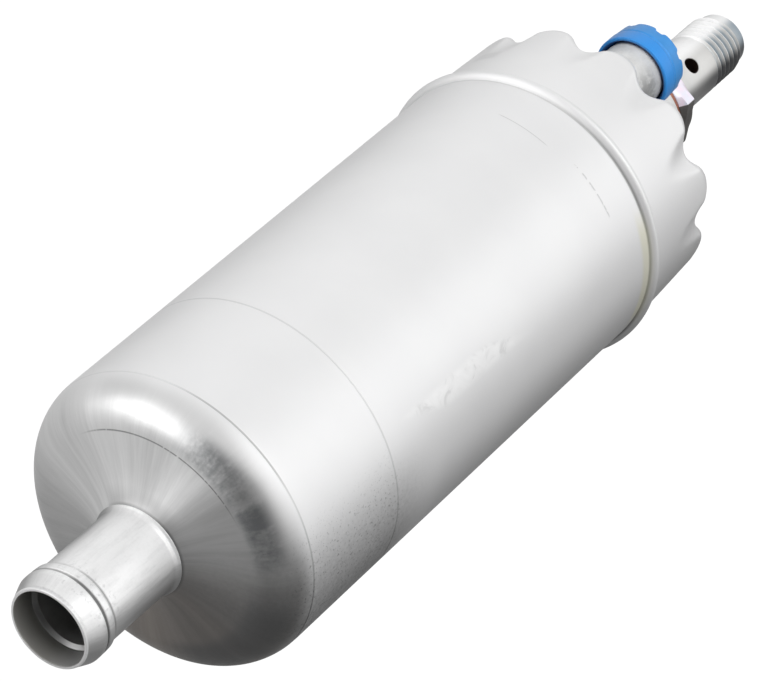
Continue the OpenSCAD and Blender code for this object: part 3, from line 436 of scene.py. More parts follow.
def collar_skin():
    """The coloured collar: a ring with a countersunk near side, a groove round it and a notched far rim."""
    end_x = COLLAR_X + COLLAR_L
    mid_x = COLLAR_X + COLLAR_L * 0.46
    floor_x, roof_x = POST_TOP + 0.02, POST_TOP + 1.02
    fit_r, hole_r, cup_r = POST_R + 0.03, 3.44, COLLAR_R - 2.2
    corners = [(COLLAR_X + 1.3, fit_r), (COLLAR_X, fit_r + 0.6), (COLLAR_X, COLLAR_R), (mid_x, COLLAR_R),
               (mid_x + 0.2, COLLAR_R - 0.32), (mid_x + 0.6, COLLAR_R - 0.1), (end_x, COLLAR_R - 0.25),
               (end_x, cup_r), (roof_x, cup_r), (roof_x, hole_r), (floor_x, hole_r), (floor_x, fit_r),
               (COLLAR_X + 1.3, fit_r)]
    radii = (0, 0.1, 0.3, 0.3, 0.12, 0.15, 0.35, 0.3, 0.3, 0.2, 0, 0, 0)
    grid = revolved(rounded(corners, radii, 6)[:-1], 192)
    spacing = FULL_TURN / NOTCHES
    notch_half, notch_depth, notch_run = 0.85, 0.6, 1.2
    off = np.abs((np.arctan2(grid[..., 2], grid[..., 1]) / spacing + 0.5) % 1 - 0.5) * spacing * COLLAR_R
    notch = 1 / (1 + (off / notch_half) ** 8)
    near_end = np.clip((grid[..., 0] - (end_x - 1.6)) / notch_run, 0, 1)
    near_end *= np.hypot(grid[..., 1], grid[..., 2]) > COLLAR_R - 2.6
    grid[..., 0] -= notch_depth * notch * near_end
    return Skin().add(moved(grid, TERMINAL_RING), wrap_rows=True)


def hex_radius(angle, across_flats, soft=0.12):
    """Radius of a hexagon at an angle from a flat's middle: half the width over the cosine within each sixth."""
    within = (angle + np.pi / 6) % (np.pi / 3) - np.pi / 6
    corner = across_flats / math.sqrt(3)
    return -soft * np.logaddexp(-across_flats / 2 / np.cos(within) / soft, -(corner - 0.05) / soft)


def thread_cut(station, angle, start, end, pitch):
    """Depth of a metric thread: a helix phase folded to a triangle wave, with flats at the crest and the root."""
    phase = ((station - start) / pitch - angle / FULL_TURN) % 1
    wave = np.clip((np.abs(2 * phase - 1) - 0.125) / 0.625, 0, 1)
    run = np.clip((station - start) / pitch, 0, 1) * np.clip((end - station) / (0.6 * pitch), 0, 1)
    return 0.6134 * pitch * wave * run


def stud_skin():
    """The outlet stud: hexagon, shank with its cross hole, thread and lead, on columns 2.5 degrees apart.

    Round each mouth of the cross hole the columns and rows leave a square open. A ring of rows, blended from
    the hole's circle to the square's edge, closes it, and the hole's wall goes straight in from the circle.
    """
    columns, cells = 144, 20
    hex_at = math.radians(HEX_AT)
    angle = hex_at + circle(columns)
    half = cells / 2 * FULL_TURN / columns * SHANK_R

    flats = hex_radius(angle - hex_at, HEX_AF)
    spigot = ((BOSS_TOP - SPIGOT_L, 0), (BOSS_TOP - SPIGOT_L, SPIGOT_R), (HEX_X, SPIGOT_R))
    rows = [turned(x, r, angle) for x, r in spigot]
    hexagon = ((0, 8.3), (0.12, 8.42), (0.8, 9.75), (1.3, 9.9), (2.6, 9.9), (3.1, 9.75), (3.78, 8.42),
               (HEX_T, 8.25))
    rows += [turned(HEX_X + x, np.minimum(flats, r), angle) for x, r in hexagon]
    foot = rounded([(SHANK_X, 8.2), (SHANK_X, SHANK_R), (SHANK_X + 2, SHANK_R)], (0, 0.5, 0), 5)[1:-1]
    rows += [turned(x, r, angle) for x, r in foot]
    first_hole_row = len(rows)
    rows += [turned(x, SHANK_R, angle) for x in HOLE_X + np.linspace(-half, half, cells + 1)]
    x = np.arange(THREAD_X, LEAD_X + 0.01, 0.08)[:, None]
    cut = thread_cut(x, angle[None, :], THREAD_X, LEAD_X, PITCH)
    lead = 0.3 * np.clip((x - LEAD_X + 0.7) / 0.7, 0, 1)
    rows += list(turned(x, SHANK_R - np.maximum(cut, lead), angle))
    tip = rounded([(LEAD_X, SHANK_R - 0.3), (LEAD_X + 0.2, SHANK_R - 0.5), (TIP_X, SHANK_R - 0.8), (TIP_X, 1.6),
                   (TIP_X - 0.9, 0.7), (TIP_X - 1.3, 0)], (0, 0.3, 0.7, 0.15, 0, 0), 7)[1:]
    rows += [turned(x, r, angle) for x, r in tip]
    keep = np.ones((len(rows) - 1, columns), bool)
    for column in (0, columns // 2):
        at = (np.arange(-cells // 2, cells // 2) + column) % columns
        keep[first_hole_row:first_hole_row + cells, at] = False
    skin = Skin().add(np.stack(rows), keep=keep)

    step = np.linspace(-half, half, cells + 1)[:-1]
    low, high = np.full(cells, -half), np.full(cells, half)
    edges = ((step, low), (high, step), (-step, high), (low, -step))
    square = np.concatenate([np.stack(edge, 1) for edge in edges])
    mouth = HOLE_R * square / np.linalg.norm(square, axis=1, keepdims=True)
    rim, deep = 0.18, 4.0
    wide_mouth = mouth * (1 + rim / HOLE_R)
    for middle in (hex_at, hex_at + np.pi):
        inwards = np.array([0, -math.cos(middle), -math.sin(middle)])

        def on_shank(flat):
            return turned(HOLE_X + flat[..., 0], SHANK_R, middle + flat[..., 1] / SHANK_R)

        blend = (np.linspace(1, 0, 7) ** 1.3)[:, None, None]
        apron = on_shank(wide_mouth + (square - wide_mouth) * blend)
        wall = [on_shank(mouth * (1 + rim * (1 - k) / HOLE_R)) + inwards * rim * k for k in (0.4, 1.0)]
        wall += [on_shank(mouth) + inwards * depth for depth in (0.6, 2.0, deep)]
        centre = np.broadcast_to(on_shank(np.zeros(2)) + inwards * deep, mouth.shape[:1] + (3,))
        skin.add(np.concatenate([apron, np.stack(wall), centre[None]]))
    return skin


def screw_rod(end_x, radius, pitch, smooth_to, z):
    """A terminal's threaded end: smooth up to a station, then a metric thread with a chamfered tip."""
    angle = circle(64)
    x = np.concatenate([[ROD_X, smooth_to], np.arange(smooth_to + 0.02, end_x, 0.07), [end_x]])[:, None]
    chamfer = 0.55 * np.clip((x - end_x + 0.5) / 0.5, 0, 1)
    cut = np.maximum(thread_cut(x, angle, smooth_to, end_x + pitch, pitch), chamfer)
    return moved(capped(turned(x, radius - cut, angle)), z)


def nut_grid(x, across_flats, height, bore, z):
    """A hexagon nut: rows over its chamfered outside, then back through its countersunk bore."""
    angle = circle(144)
    sink = 0.35
    corner = across_flats / math.sqrt(3)
    face = across_flats / 2 - 0.15
    chamfer = (corner - face) * 0.58
    levels = (0, chamfer, height - chamfer, height)
    up = np.concatenate([np.linspace(a, b, 6)[:-1] for a, b in zip(levels[:-1], levels[1:])] + [[height]])
    limit = face + (corner - face) * np.minimum(1, np.minimum(up, height - up) / chamfer)
    outside = np.minimum(hex_radius(angle, across_flats, 0.06), limit[:, None])
    inside = np.array([bore + sink, bore, bore, bore + sink])[:, None] + 0 * angle
    station = x + np.concatenate([up, [height, height - sink, sink, 0]])
    return moved(turned(station[:, None], np.concatenate([outside, inside]), angle), z)


def ring_grid(x0, x1, r_in, r_out, edge, z=0.0, columns=96):
    """A flat ring with rounded edges, such as a washer or a sleeve."""
    middle = (r_in + r_out) / 2
    profile = rounded([(x0, middle), (x0, r_out), (x1, r_out), (x1, r_in), (x0, r_in), (x0, middle)],
                      (0, edge, edge, edge, edge, 0), 4)[:-1]
    return moved(revolved(profile, columns), z)


def coil_grid(turns, radius, wire, length):
    """A spring's wire along +x: a circle swept round a helix whose end turns lie close, with capped ends.

    The helix climbs evenly, but by only two wire radii in the first and the last 0.9 turn.
    """
    close = 0.9
    t = np.linspace(0, turns, 24 * turns + 1)[:, None]
    climb = np.interp(t, (0, close, turns - close, turns), (0, 2 * wire, length - 2 * wire, length))
    middle = wire + climb * (length - 2 * wire) / length
    round_wire = circle(12)
    return capped(turned(middle + wire * np.sin(round_wire), radius + wire * np.cos(round_wire), FULL_TURN * t))


def insulator_skin():
    """The lower terminal's cup: a thin washer that grips the post's end."""
    x, hole, grip, outer = LOW_POST_TOP, 3.94, 5.75, 6.5
    profile = rounded([(x - 1, grip), (x - 1, outer), (x + 1.2, outer), (x + 1.82, 5.9), (x + 1.82, hole),
                       (x + 0.02, hole), (x + 0.02, grip), (x - 1, grip)], (0, 0.3, 0.5, 0.4, 0.3, 0, 0, 0), 5)[:-1]
    return Skin().add(moved(revolved(profile, 96), -TERMINAL_RING), wrap_rows=True)


# ------ materials

class Value:
    """A number that varies over a surface. Arithmetic on it adds the Math nodes that work it out."""

    def __init__(self, finish, socket):
        self.finish, self.socket = finish, socket

    def math(self, operation, *values):
        """The result of a Math node on the values."""
        return self.finish.node("ShaderNodeMath", {"operation": operation}, dict(enumerate(values)))

    def __add__(self, other): return self.math("ADD", self, other)
    def __radd__(self, other): return self.math("ADD", other, self)
    def __sub__(self, other): return self.math("SUBTRACT", self, other)
    def __rsub__(self, other): return self.math("SUBTRACT", other, self)
    def __mul__(self, other): return self.math("MULTIPLY", self, other)
    def __truediv__(self, other): return self.math("DIVIDE", self, other)
    def __pow__(self, other): return self.math("POWER", self, other)

    def least(self, other): return self.math("MINIMUM", self, other)
    def most(self, other): return self.math("MAXIMUM", self, other)
    def sine(self): return self.math("SINE", self)
    def apart(self, middle): return self.math("ABSOLUTE", self - middle)

    def step(self, low, high, out_low=0.0, out_high=1.0):
        """Smooth step from one value to another as this one goes from low to high."""
        values = {"Value": self, "From Min": low, "From Max": high, "To Min": out_low, "To Max": out_high}
        return self.finish.node("ShaderNodeMapRange", {"interpolation_type": "SMOOTHSTEP"}, values, "Result")

    def inside(self, middle, half, soft):
        """1 within half of the middle, fading to 0 over soft."""
        return self.apart(middle).step(half, half + soft, 1.0, 0.0)


class Nodes:
    """A node tree that is being filled."""

    def __init__(self, tree):
        self.tree = tree

    def node(self, kind, settings=None, values=None, output=0):
        """One output of a new node with some settings, and with values or links at its sockets."""
        made = self.tree.nodes.new(kind)
        for name, setting in (settings or {}).items():
            setattr(made, name, setting)
        for name, value in (values or {}).items():
            socket = made.inputs[name]
            if isinstance(value, Value):
                self.tree.links.new(value.socket, socket)
            else:
                socket.default_value = value
        return Value(self, made.outputs[output])

    def ray(self, kind):
        """1 for rays of a kind, 0 for all others."""
        return self.node("ShaderNodeLightPath", output=f"Is {kind} Ray")


class Finish(Nodes):
    """A material being made, with the coordinates that its patterns use, in millimetres."""

    def __init__(self, name, **plain):
        self.material = bpy.data.materials.new(name)
        self.material.use_nodes = True
        super().__init__(self.material.node_tree)
        self.shader = self.tree.nodes["Principled BSDF"]
        for socket, value in plain.items():
            self.shader.inputs[socket.replace("_", " ")].default_value = value
        where = self.node("ShaderNodeTexCoord", output="Object")
        self.place = self.node("ShaderNodeVectorMath", {"operation": "SCALE"}, {"Vector": where, "Scale": 1 / MM},
                               "Vector")
        self.x, self.y, self.z = (self.node("ShaderNodeSeparateXYZ", {}, {"Vector": self.place}, axis)
                                  for axis in "XYZ")
        self.station = self.x + ORIGIN_X
        self.radius = (self.y * self.y + self.z * self.z) ** 0.5

    def noise(self, scale, detail=3.0, rough=0.55, where=None, offset=0.0, distortion=0.0):
        """Noise from 0 to 1, scale patches a millimetre, another one for each offset."""
        mapped = self.node("ShaderNodeMapping", {}, {"Vector": where or self.place,
                                                     "Location": (offset, offset * 0.7, offset * 1.3)}, "Vector")
        return self.node("ShaderNodeTexNoise", {}, {"Vector": mapped, "Scale": scale, "Detail": detail,
                                                    "Roughness": rough, "Distortion": distortion}, "Fac")

    def around(self, along=0.0, outwards=0.0):
        """Place on a drum of radius 1: streaks run along the axis and outwards where those factors are small."""
        place = {"X": self.x * along + self.radius * outwards, "Y": self.y / self.radius, "Z": self.z / self.radius}
        return self.node("ShaderNodeCombineXYZ", {}, place, "Vector")

    def colour(self, *stops, by):
        """Colour from stops of (value, (red, green, blue)) by a number."""
        made = self.tree.nodes.new("ShaderNodeValToRGB")
        ramp = made.color_ramp
        for i, (position, rgb) in enumerate(stops):
            element = ramp.elements[i] if i < 2 else ramp.elements.new(position)
            element.position, element.color = position, (*rgb, 1)
        self.tree.links.new(by.socket, made.inputs[0])
        return Value(self, made.outputs["Color"])

    def mottled(self, tone, dark, light, by):
        """A tone times the factor dark where the number is low, and times light where it is high."""
        low, high = (tuple(min(c * k, 1) for c in tone) for k in (dark, light))
        return self.colour((0.3, low), (0.7, high), by=by)

    def mix(self, a, b, factor, blend="MIX"):
        """One colour over another, by a factor."""
        colours = [v if isinstance(v, Value) else (*v, 1) for v in (a, b)]
        return self.node("ShaderNodeMix", {"data_type": "RGBA", "blend_type": blend},
                         {0: factor, 6: colours[0], 7: colours[1]}, 2)

    def angle(self):
        """Angle about the axis from +Y towards +Z, in degrees, from 0 to 360."""
        return self.wrapped(self.z.math("ARCTAN2", self.z, self.y) * (180 / math.pi))

    def wrapped(self, turn):
        """The angle between 0 and a whole turn."""
        return turn.math("MODULO", turn + 360.0, 360.0)

    def from_terminal(self):
        """Distance from the near terminal's axis."""
        up = self.z - TERMINAL_RING
        return (self.y * self.y + up * up) ** 0.5

    def set(self, **sockets):
        """Links values to the shader's sockets."""
        for name, value in sockets.items():
            self.tree.links.new(value.socket, self.shader.inputs[name.replace("_", " ")])

    def done(self, colour, roughness, height, depth):
        """The material with a colour, a roughness and a relief from 0 to 1 that is depth millimetres deep."""
        relief = {"Height": height, "Strength": 1.0, "Distance": depth * MM}
        self.set(Base_Color=colour, Roughness=roughness, Normal=self.node("ShaderNodeBump", {}, relief, "Normal"))
        return self.material


def grey(level):
    """The grey of a level."""
    return (level, level, level)


def can_finish():
    """Drawn aluminium: a satin body with faint blotches and painted shade along its underside and in its grooves
    and corners, and a nose with streaks drawn round it and painted reflections, highlights and shade.
    """
    f = Finish("can_aluminium", Specular_IOR_Level=0.35)
    body = f.noise(0.06, 3, 0.5)
    grain = f.noise(3.2, 4, 0.7)
    streak = f.noise(7.0, 4, 0.7, f.around(outwards=0.004))
    wide = f.noise(2.2, 2, 0.5, f.around(outwards=0.003), offset=3)
    ragged = f.noise(1.3, 4, 0.65, offset=8)
    turn = f.angle()
    nose = f.station.step(29.5, 33.0, 1.0, 0.0)
    tone = f.colour((0.25, (0.84, 0.84, 0.845)), (0.75, (0.89, 0.89, 0.892)), by=body * 0.8 + grain * 0.2)

    # Painted reflections and shade round the nose: lighter on one side, darker and brownish on the other
    lap = f.wrapped(turn + (wide - 0.5) * 24) / 360
    side = f.colour((0.0, grey(0.66)), (0.13, grey(0.80)), (0.27, grey(0.82)), (0.33, grey(0.52)),
                    (0.42, grey(0.48)), (0.56, (0.27, 0.248, 0.232)), (0.72, (0.28, 0.255, 0.235)),
                    (0.83, grey(0.36)), (0.92, grey(0.48)), (1.0, grey(0.66)), by=lap)
    drawn = f.colour((0.25, grey(0.72)), (0.75, grey(1.25)), by=streak * 0.6 + wide * 0.4)
    rolled = f.mix(side, drawn, 1.0, "MULTIPLY")
    # A painted highlight: a lighter band round the upper side of the shoulder's edge
    rolled = f.mix(rolled, grey(0.80), f.radius.step(23.0, 26.4) * 0.8 * turn.inside(78, 54, 24))
    # A painted dark reflection with torn edges beside the shoulder's highlight, and painted shade on the nose's
    # underside (the foot)
    scored = f.noise(3.4, 4, 0.75, f.around(along=0.012, outwards=0.012), offset=9)
    torn = (scored * 0.8 + ragged * 0.2).step(0.34, 0.58)
    dark_reflection = f.radius.inside(22.8, 1.1, 1.8) * turn.inside(122, 22, 18) * torn
    foot = f.radius.inside(22.6, 2.0, 2.5) * turn.inside(205, 24, 24)
    rolled = f.mix(rolled, (0.09, 0.10, 0.11), (dark_reflection * 0.62).most(foot * 0.55))
    # Painted shade: a dark line where the face meets the shoulder, and a dark joint line round the nozzle that is
    # drawn only on its shaded side
    crease = f.radius.inside(20.2, 0.04, 0.14) * turn.inside(82, 30, 22) * ragged.step(0.30, 0.46)
    joint = f.radius.inside(NOZZLE_R + 0.45, 0.15, 0.5) * turn.inside(120, 60, 40)
    rolled = f.mix(rolled, grey(0.10), crease * 0.7 + joint * 0.6)
    # Painted shade over the upper side of the neck
    rolled = f.mix(rolled, grey(0.28), f.radius.step(12.0, 8.4, 0.0, 0.5) * turn.inside(75, 30, 20))
    shade = f.mix(tone, rolled, nose)

    # Painted shade in the ring lines' grooves and in the corners before and beyond the bead, and a patch darker
    # towards the lower side near the inlet end
    line_shade = turn.inside(103, 12, 22) * 0.4 + turn.inside(166, 22, 20) * 0.2 + 0.1
    dark = f.station.inside(RING_LINES[0], 0.08, 0.16) * line_shade
    dark += f.station.inside(RING_LINES[1], 0.08, 0.16) * 0.22
    dark += f.station.inside(BEAD_X - 0.05, 0.08, 0.3) * turn.step(60, 130, 0.15, 0.55)
    dark += f.station.inside(RIM_X + 0.15, 0.1, 0.5) * 0.16
    low = turn.inside(176, 10, 26) * f.station.inside(43, 11, 14)
    dark += low * (ragged * 0.5 + 0.15)
    pits = f.noise(2.4, 2, 0.6, offset=11).step(0.60, 0.68)
    pits *= turn.inside(170, 14, 20) * f.station.inside(43, 12, 4)
    # Dark pits, and a band of painted shade along the underside
    dark += pits * 0.35 + turn.inside(205, 20, 28) * 0.35
    shade = f.mix(shade, grey(0.16), dark.least(1.0))

    # Handling marks: two hairline scratches near the bead, a rubbed patch and a scuff on the rim
    broken = f.noise(0.9, 3, 0.6, offset=14)
    hair = (f.station + (turn - 86) * 0.02).inside(124.8, 0.03, 0.12) * turn.inside(86, 9, 3)
    dash = f.station.inside(126.0, 0.05, 0.22) * turn.inside(119, 11, 3) * broken.step(0.48, 0.54)
    rub = (f.station - (turn - 140) * 1.3).inside(79, 9, 5) * turn.inside(140, 2.4, 3.2)
    rubbed = f.noise(0.22, 3, 0.6, offset=21, distortion=1.5)
    graze = f.station.inside(144.6, 0.7, 1.5) * turn.inside(42, 3, 5) * (grain * 0.6 + 0.2)
    shade = f.mix(shade, grey(0.30), hair * 0.35 + dash * 0.4 + graze * 0.28)
    shade = f.mix(shade, f.colour((0.38, grey(0.76)), (0.46, grey(0.92)), (0.6, grey(0.97)), by=rubbed), rub * 0.7)

    # Lacquer pooled against the stop bead
    lacquer = f.station.inside(BEAD_X - 1.0, 0.5, 1.3) * turn.inside(164, 16, 14)
    shade = f.mix(shade, (0.78, 0.76, 0.55), lacquer * 0.55)
    f.set(Metallic=nose * 0.22 + 0.5)
    rough = 0.46 - nose * 0.10 + (grain - 0.5) * 0.12 + (ragged - 0.5) * nose * 0.2
    return f.done(shade, rough, grain * 0.6 + streak * nose, 0.02)


def nozzle_finish():
    """Turned tube: marks drawn along it, a painted highlight on its upper side and lip, painted shade on its limbs
    and underneath, and inside its stepped bore a tone lightened as painted light, with a painted highlight on one
    side of the step.
    """
    f = Finish("nozzle_aluminium", Metallic=0.5)
    marks = f.noise(6.0, 3, 0.6, f.around(along=0.02))
    grain = f.noise(2.2, 4, 0.6)
    turn = f.angle()
    # Painted highlight and shade round the tube: light on its upper side, dark on its limbs and underneath
    lap = f.wrapped(turn + (marks - 0.5) * 14) / 360
    tone = f.colour((0.0, grey(0.28)), (0.04, grey(0.32)), (0.075, grey(0.42)), (0.115, grey(0.74)),
                    (0.15, grey(0.88)), (0.385, grey(0.97)), (0.42, grey(0.80)), (0.448, grey(0.54)),
                    (0.5, grey(0.36)), (0.9, grey(0.26)), by=lap)
    rubs = f.noise(1.4, 3, 0.6, offset=5).step(0.56, 0.68)
    rubs *= f.station.inside(5.2, 2.2, 2.0) * turn.inside(105, 30, 30)
    tone = f.mix(tone, grey(0.3), (grain - 0.45) * 0.2 + marks.step(0.42, 0.66) * 0.12 + rubs * 0.25)
    # A painted highlight on the lip
    tone = f.mix(tone, grey(0.98), f.station.step(0.42, 0.22))
    # The grooves darker on their shaded side, as painted shade
    shaded = turn.inside(142, 44, 30)
    groove = f.station.inside(4.35, 0.16, 0.2) * (shaded * 0.3 + 0.6)
    groove += f.station.inside(6.55, 0.10, 0.35) * (shaded * 0.35 + 0.1)
    groove += f.station.inside(0.4, 0.12, 0.3) * turn.inside(95, 30, 25) * (grain * 0.6 - 0.1) * 0.9
    tone = f.mix(tone, grey(0.12), groove)
    inner = f.radius.step(LIP_EDGE_R - 0.02, LIP_EDGE_R + 0.04, 1.0, 0.0)
    # Inside: a bore tone lightened as painted light, and a painted highlight on the wall and step on one side
    bore = f.colour((0.0, (0.40, 0.39, 0.37)), (0.3, (0.24, 0.235, 0.22)), (0.5, grey(0.35)), (1.0, grey(0.25)),
                    by=f.station / THROAT_X)
    highlight_side = turn.inside(205, 18, 50)
    bore = f.mix(bore, grey(0.62), highlight_side * f.station.step(STEP_X, STEP_X - 0.4) * 0.7)
    bore = f.mix(bore, f.mix(grey(0.22), grey(0.95), highlight_side), f.station.inside(STEP_X + 0.35, 0.26, 0.12))
    return f.done(f.mix(tone, bore, inner), 0.36 + (marks - 0.5) * 0.16, grain * 0.4 + marks * 0.6, 0.02)


def aluminium_finish(name, tone, rough, metal, relief=0.02, post_shaded=False):
    """Machined or cast aluminium with fine grain; the terminal post can get painted shade in patches on its lower
    side.
    """
    f = Finish(name, Metallic=metal)
    grain = f.noise(2.2, 4, 0.6)
    marks = f.noise(0.35, 2, 0.5, offset=5)
    shade = f.mottled(tone, 0.86, 1.08, grain * 0.35 + marks * 0.65)
    if post_shaded:
        # Painted shade in patches on the post's lower side, near the rim
        patches = f.noise(0.5, 4, 0.65, offset=3).step(0.38, 0.62) * 0.55 + 0.45
        post_shade_mask = f.y.step(-1.5, -5.2) * f.station.step(COLLAR_X + 1.0, COLLAR_X - 3.0)
        post_shade_mask *= f.from_terminal().inside(POST_R, 0.2, 0.4)
        shade = f.mix(shade, grey(0.22), post_shade_mask * patches * 0.8)
    return f.done(shade, rough + (marks - 0.5) * 0.16, grain * 0.5 + marks * 0.5, relief)


def plated_finish(name, tone, tint, rough, metal):
    """Plated steel: bright, with a faint tint that drifts over it and small scuffs."""
    f = Finish(name, Metallic=metal)
    drift = f.noise(0.22, 2, 0.5, offset=2)
    scuff = f.noise(1.1, 3, 0.6)
    shade = f.mix(tone, tint, drift.step(0.4, 0.65) * 0.6 + (scuff - 0.5) * 0.3)
    return f.done(shade, rough + (scuff - 0.5) * 0.14, scuff, 0.012)


def stud_finish():
    """Bright zinc with a faint rainbow film: a painted highlight along one side and painted shade along the other,
    thread roots bluish grey partly as painted shade, a lilac-tinted painted highlight on one hexagon flat and
    painted shade on the next, and painted shade in its hole.
    """
    f = Finish("stud_zinc", Metallic=0.3)
    scuff = f.noise(0.9, 3, 0.6)
    film = f.noise(0.5, 2, 0.5, offset=6)
    turn = f.angle()
    root = f.radius.step(5.2, 5.8, 1.0, 0.0) * f.station.step(THREAD_X, THREAD_X + 0.6)
    # A painted highlight along one side and painted shade along the other
    painted_highlight = turn.inside(56, 24, 26)
    dull = turn.inside(192, 32, 26)
    shade = f.mix((0.70, 0.695, 0.68), grey(0.98), painted_highlight)
    shade = f.mix(shade, (0.55, 0.56, 0.56), f.station.inside(SHANK_X, 3.4, 3.0) * 0.3)
    # Thread roots bluish grey, partly painted shade in the recesses, left out under the painted highlight
    shade = f.mix(shade, (0.28, 0.35, 0.41), root * (1.0 - painted_highlight * 0.95) * 0.9)
    shade = f.mix(shade, (0.05, 0.05, 0.055), dull * f.station.step(SHANK_X + 5, THREAD_X, 0.7, 0.9))
    hexagon = f.station.inside(HEX_X + HEX_T / 2, HEX_T / 2, 0.1)
    lilac = f.colour((0.35, (0.86, 0.87, 0.97)), (0.65, (0.97, 0.84, 0.95)), by=film)
    # On the hexagon: painted shade on one flat, and a painted highlight tinted lilac by the film on the next
    shade = f.mix(shade, (0.05, 0.045, 0.04), hexagon * turn.inside(172, 31.0, 1.0) * 0.85)
    shade = f.mix(shade, lilac, hexagon * turn.inside(HEX_AT, 29.0, 1.0))
    shade = f.mix(shade, grey(0.5), (scuff - 0.5) * 0.25)
    # Painted shade inside the cross hole
    aim = math.radians(HEX_AT)
    aside = f.z * math.cos(aim) - f.y * math.sin(aim)
    off = ((f.station - HOLE_X) ** 2.0 + aside * aside) ** 0.5
    shade = f.mix(shade, (0.022, 0.012, 0.009), off.step(HOLE_R + 0.12, HOLE_R))
    return f.done(shade, 0.34 + painted_highlight * 0.2 + (scuff - 0.5) * 0.1, scuff, 0.01)


def moulded_finish(name, tone, rough=0.4, speckle=0.08, relief=0.01):
    """Moulded plastic, rubber or pressed carbon: a mottled tone with a fine pebbled skin."""
    f = Finish(name)
    mottle = f.noise(0.5, 3, 0.5)
    pebble = f.noise(6.0, 3, 0.6, offset=4)
    shade = f.mottled(tone, 1 - speckle, 1 + speckle, mottle * 0.6 + pebble * 0.4)
    return f.done(shade, rough + (pebble - 0.5) * 0.15, pebble, relief)


def collar_finish():
    """Blue moulded plastic, with painted shade in the countersunk end that faces the boss and painted light on its
    near band.
    """
    f = Finish("blue_plastic", Coat_Weight=0.12, Coat_Roughness=0.3)
    mottle = f.noise(0.7, 3, 0.5)
    shade = f.colour((0.3, (0.045, 0.255, 0.62)), (0.7, (0.055, 0.285, 0.68)), by=mottle)
    # Painted shade in the countersink round the boss, and painted light on the near band
    inside = f.from_terminal().step(6.7, 6.9, 1.0, 0.0) * f.station.step(COLLAR_X + 2.5, COLLAR_X + 1.6)
    shade = f.mix(shade, (0.035, 0.27, 0.72), f.station.step(COLLAR_X + 2.9, COLLAR_X + 2.6))
    return f.done(f.mix(shade, (0.012, 0.075, 0.27), inside), 0.36 + (mottle - 0.5) * 0.1, mottle, 0.008)


def wound_finish():
    """Enamelled copper wire: fine turns seen as ridges across the axis."""
    f = Finish("copper_wire", Coat_Weight=0.4, Metallic=0.6)
    turns = (f.x * 9.0 + f.noise(0.4, 2) * 3).sine()
    ridges = turns * 0.5 + 0.5
    shade = f.colour((0.0, (0.30, 0.10, 0.04)), (1.0, (0.72, 0.33, 0.15)), by=ridges)
    return f.done(shade, 0.3 + turns * 0.06, ridges, 0.12)


# Moulded materials: tone, roughness, how much the tone varies and the skin's relief
MOULDED = {
    "strainer_plastic": ((0.55, 0.54, 0.50), 0.6),
    "rubber": ((0.04, 0.04, 0.042), 0.7, 0.2, 0.02),
    "impeller_plastic": ((0.16, 0.08, 0.04), 0.45),
    "ferrite": ((0.06, 0.06, 0.065), 0.55, 0.2, 0.03),
    "ivory_plastic": ((0.78, 0.73, 0.60),),
    "carbon": ((0.045, 0.045, 0.048), 0.5, 0.25, 0.02),
    "brown_plastic": ((0.12, 0.06, 0.035), 0.42),
    "seal_plastic": ((0.035, 0.035, 0.037), 0.5),
}
# Plated and bare metals: tone, tint, roughness and how metallic they are
PLATED = {
    "bronze": ((0.60, 0.40, 0.20), (0.45, 0.30, 0.16), 0.4, 0.9),
    "hard_steel": ((0.42, 0.43, 0.45), (0.36, 0.37, 0.40), 0.3, 0.95),
    "bright_steel": ((0.68, 0.68, 0.69), (0.62, 0.62, 0.64), 0.16, 0.95),
    "spring_steel": ((0.50, 0.50, 0.52), (0.42, 0.40, 0.38), 0.25, 0.95),
    "zinc_steel": ((0.70, 0.71, 0.72), (0.70, 0.66, 0.74), 0.26, 0.6),
    "flux_steel": ((0.30, 0.31, 0.33), (0.25, 0.24, 0.24), 0.45, 0.85),
    "copper": ((0.42, 0.17, 0.11), (0.22, 0.10, 0.07), 0.4, 0.7),
    "brass": ((0.72, 0.54, 0.24), (0.62, 0.44, 0.20), 0.28, 0.95),
}
FINISHES = {
    "can_aluminium": can_finish(),
    "nozzle_aluminium": nozzle_finish(),
    "cast_aluminium": aluminium_finish("cast_aluminium", (0.74, 0.74, 0.73), 0.46, 0.25, 0.05, post_shaded=True),
    "plate_aluminium": aluminium_finish("plate_aluminium", (0.62, 0.63, 0.64), 0.35, 0.6),
    "copper_wire": wound_finish(),
    "blue_plastic": collar_finish(),
    **{name: moulded_finish(name, *look) for name, look in MOULDED.items()},
    **{name: plated_finish(name, *look) for name, look in PLATED.items()},
}
STUD = stud_finish()
for part in frame["record"]["subparts"]:
    slots = frame["nodes"][part["node"]].data.materials
    slots.clear()
    slots.append(FINISHES[part["material_slot"]])


# ------ pieces

def fit(skin, name, slot, nodes, sharp=35):
    """A skin as a piece of the housing in place of some nodes, in the finish of a material slot."""
    return skin.piece(name, FINISHES[slot], "housing", nodes, slot, sharp)


fit(can_skin(), "can", "can_aluminium", ["casing"])
fit(nozzle_skin(), "hose_nozzle", "nozzle_aluminium", ["inlet_nozzle"])
fit(cap_skin(), "cast_cap", "cast_aluminium", ["end_cap"])
for side, label in ((1, "left"), (-1, "right")):
    fit(rib_skin(side), f"cap_rib_{label}", "cast_aluminium", [])
fit(collar_skin(), "blue_collar", "blue_plastic", ["terminal_collar"], sharp=45)
stud_skin().piece("stud", STUD, "housing", ["outlet_stud"], "zinc_steel")
fit(Skin().add(ring_grid(BOSS_TOP + 0.01, HEX_X - 0.01, WASHER_IN_R, WASHER_R, 0.35), wrap_rows=True),
    "copper_washer", "copper", ["sealing_washer"])

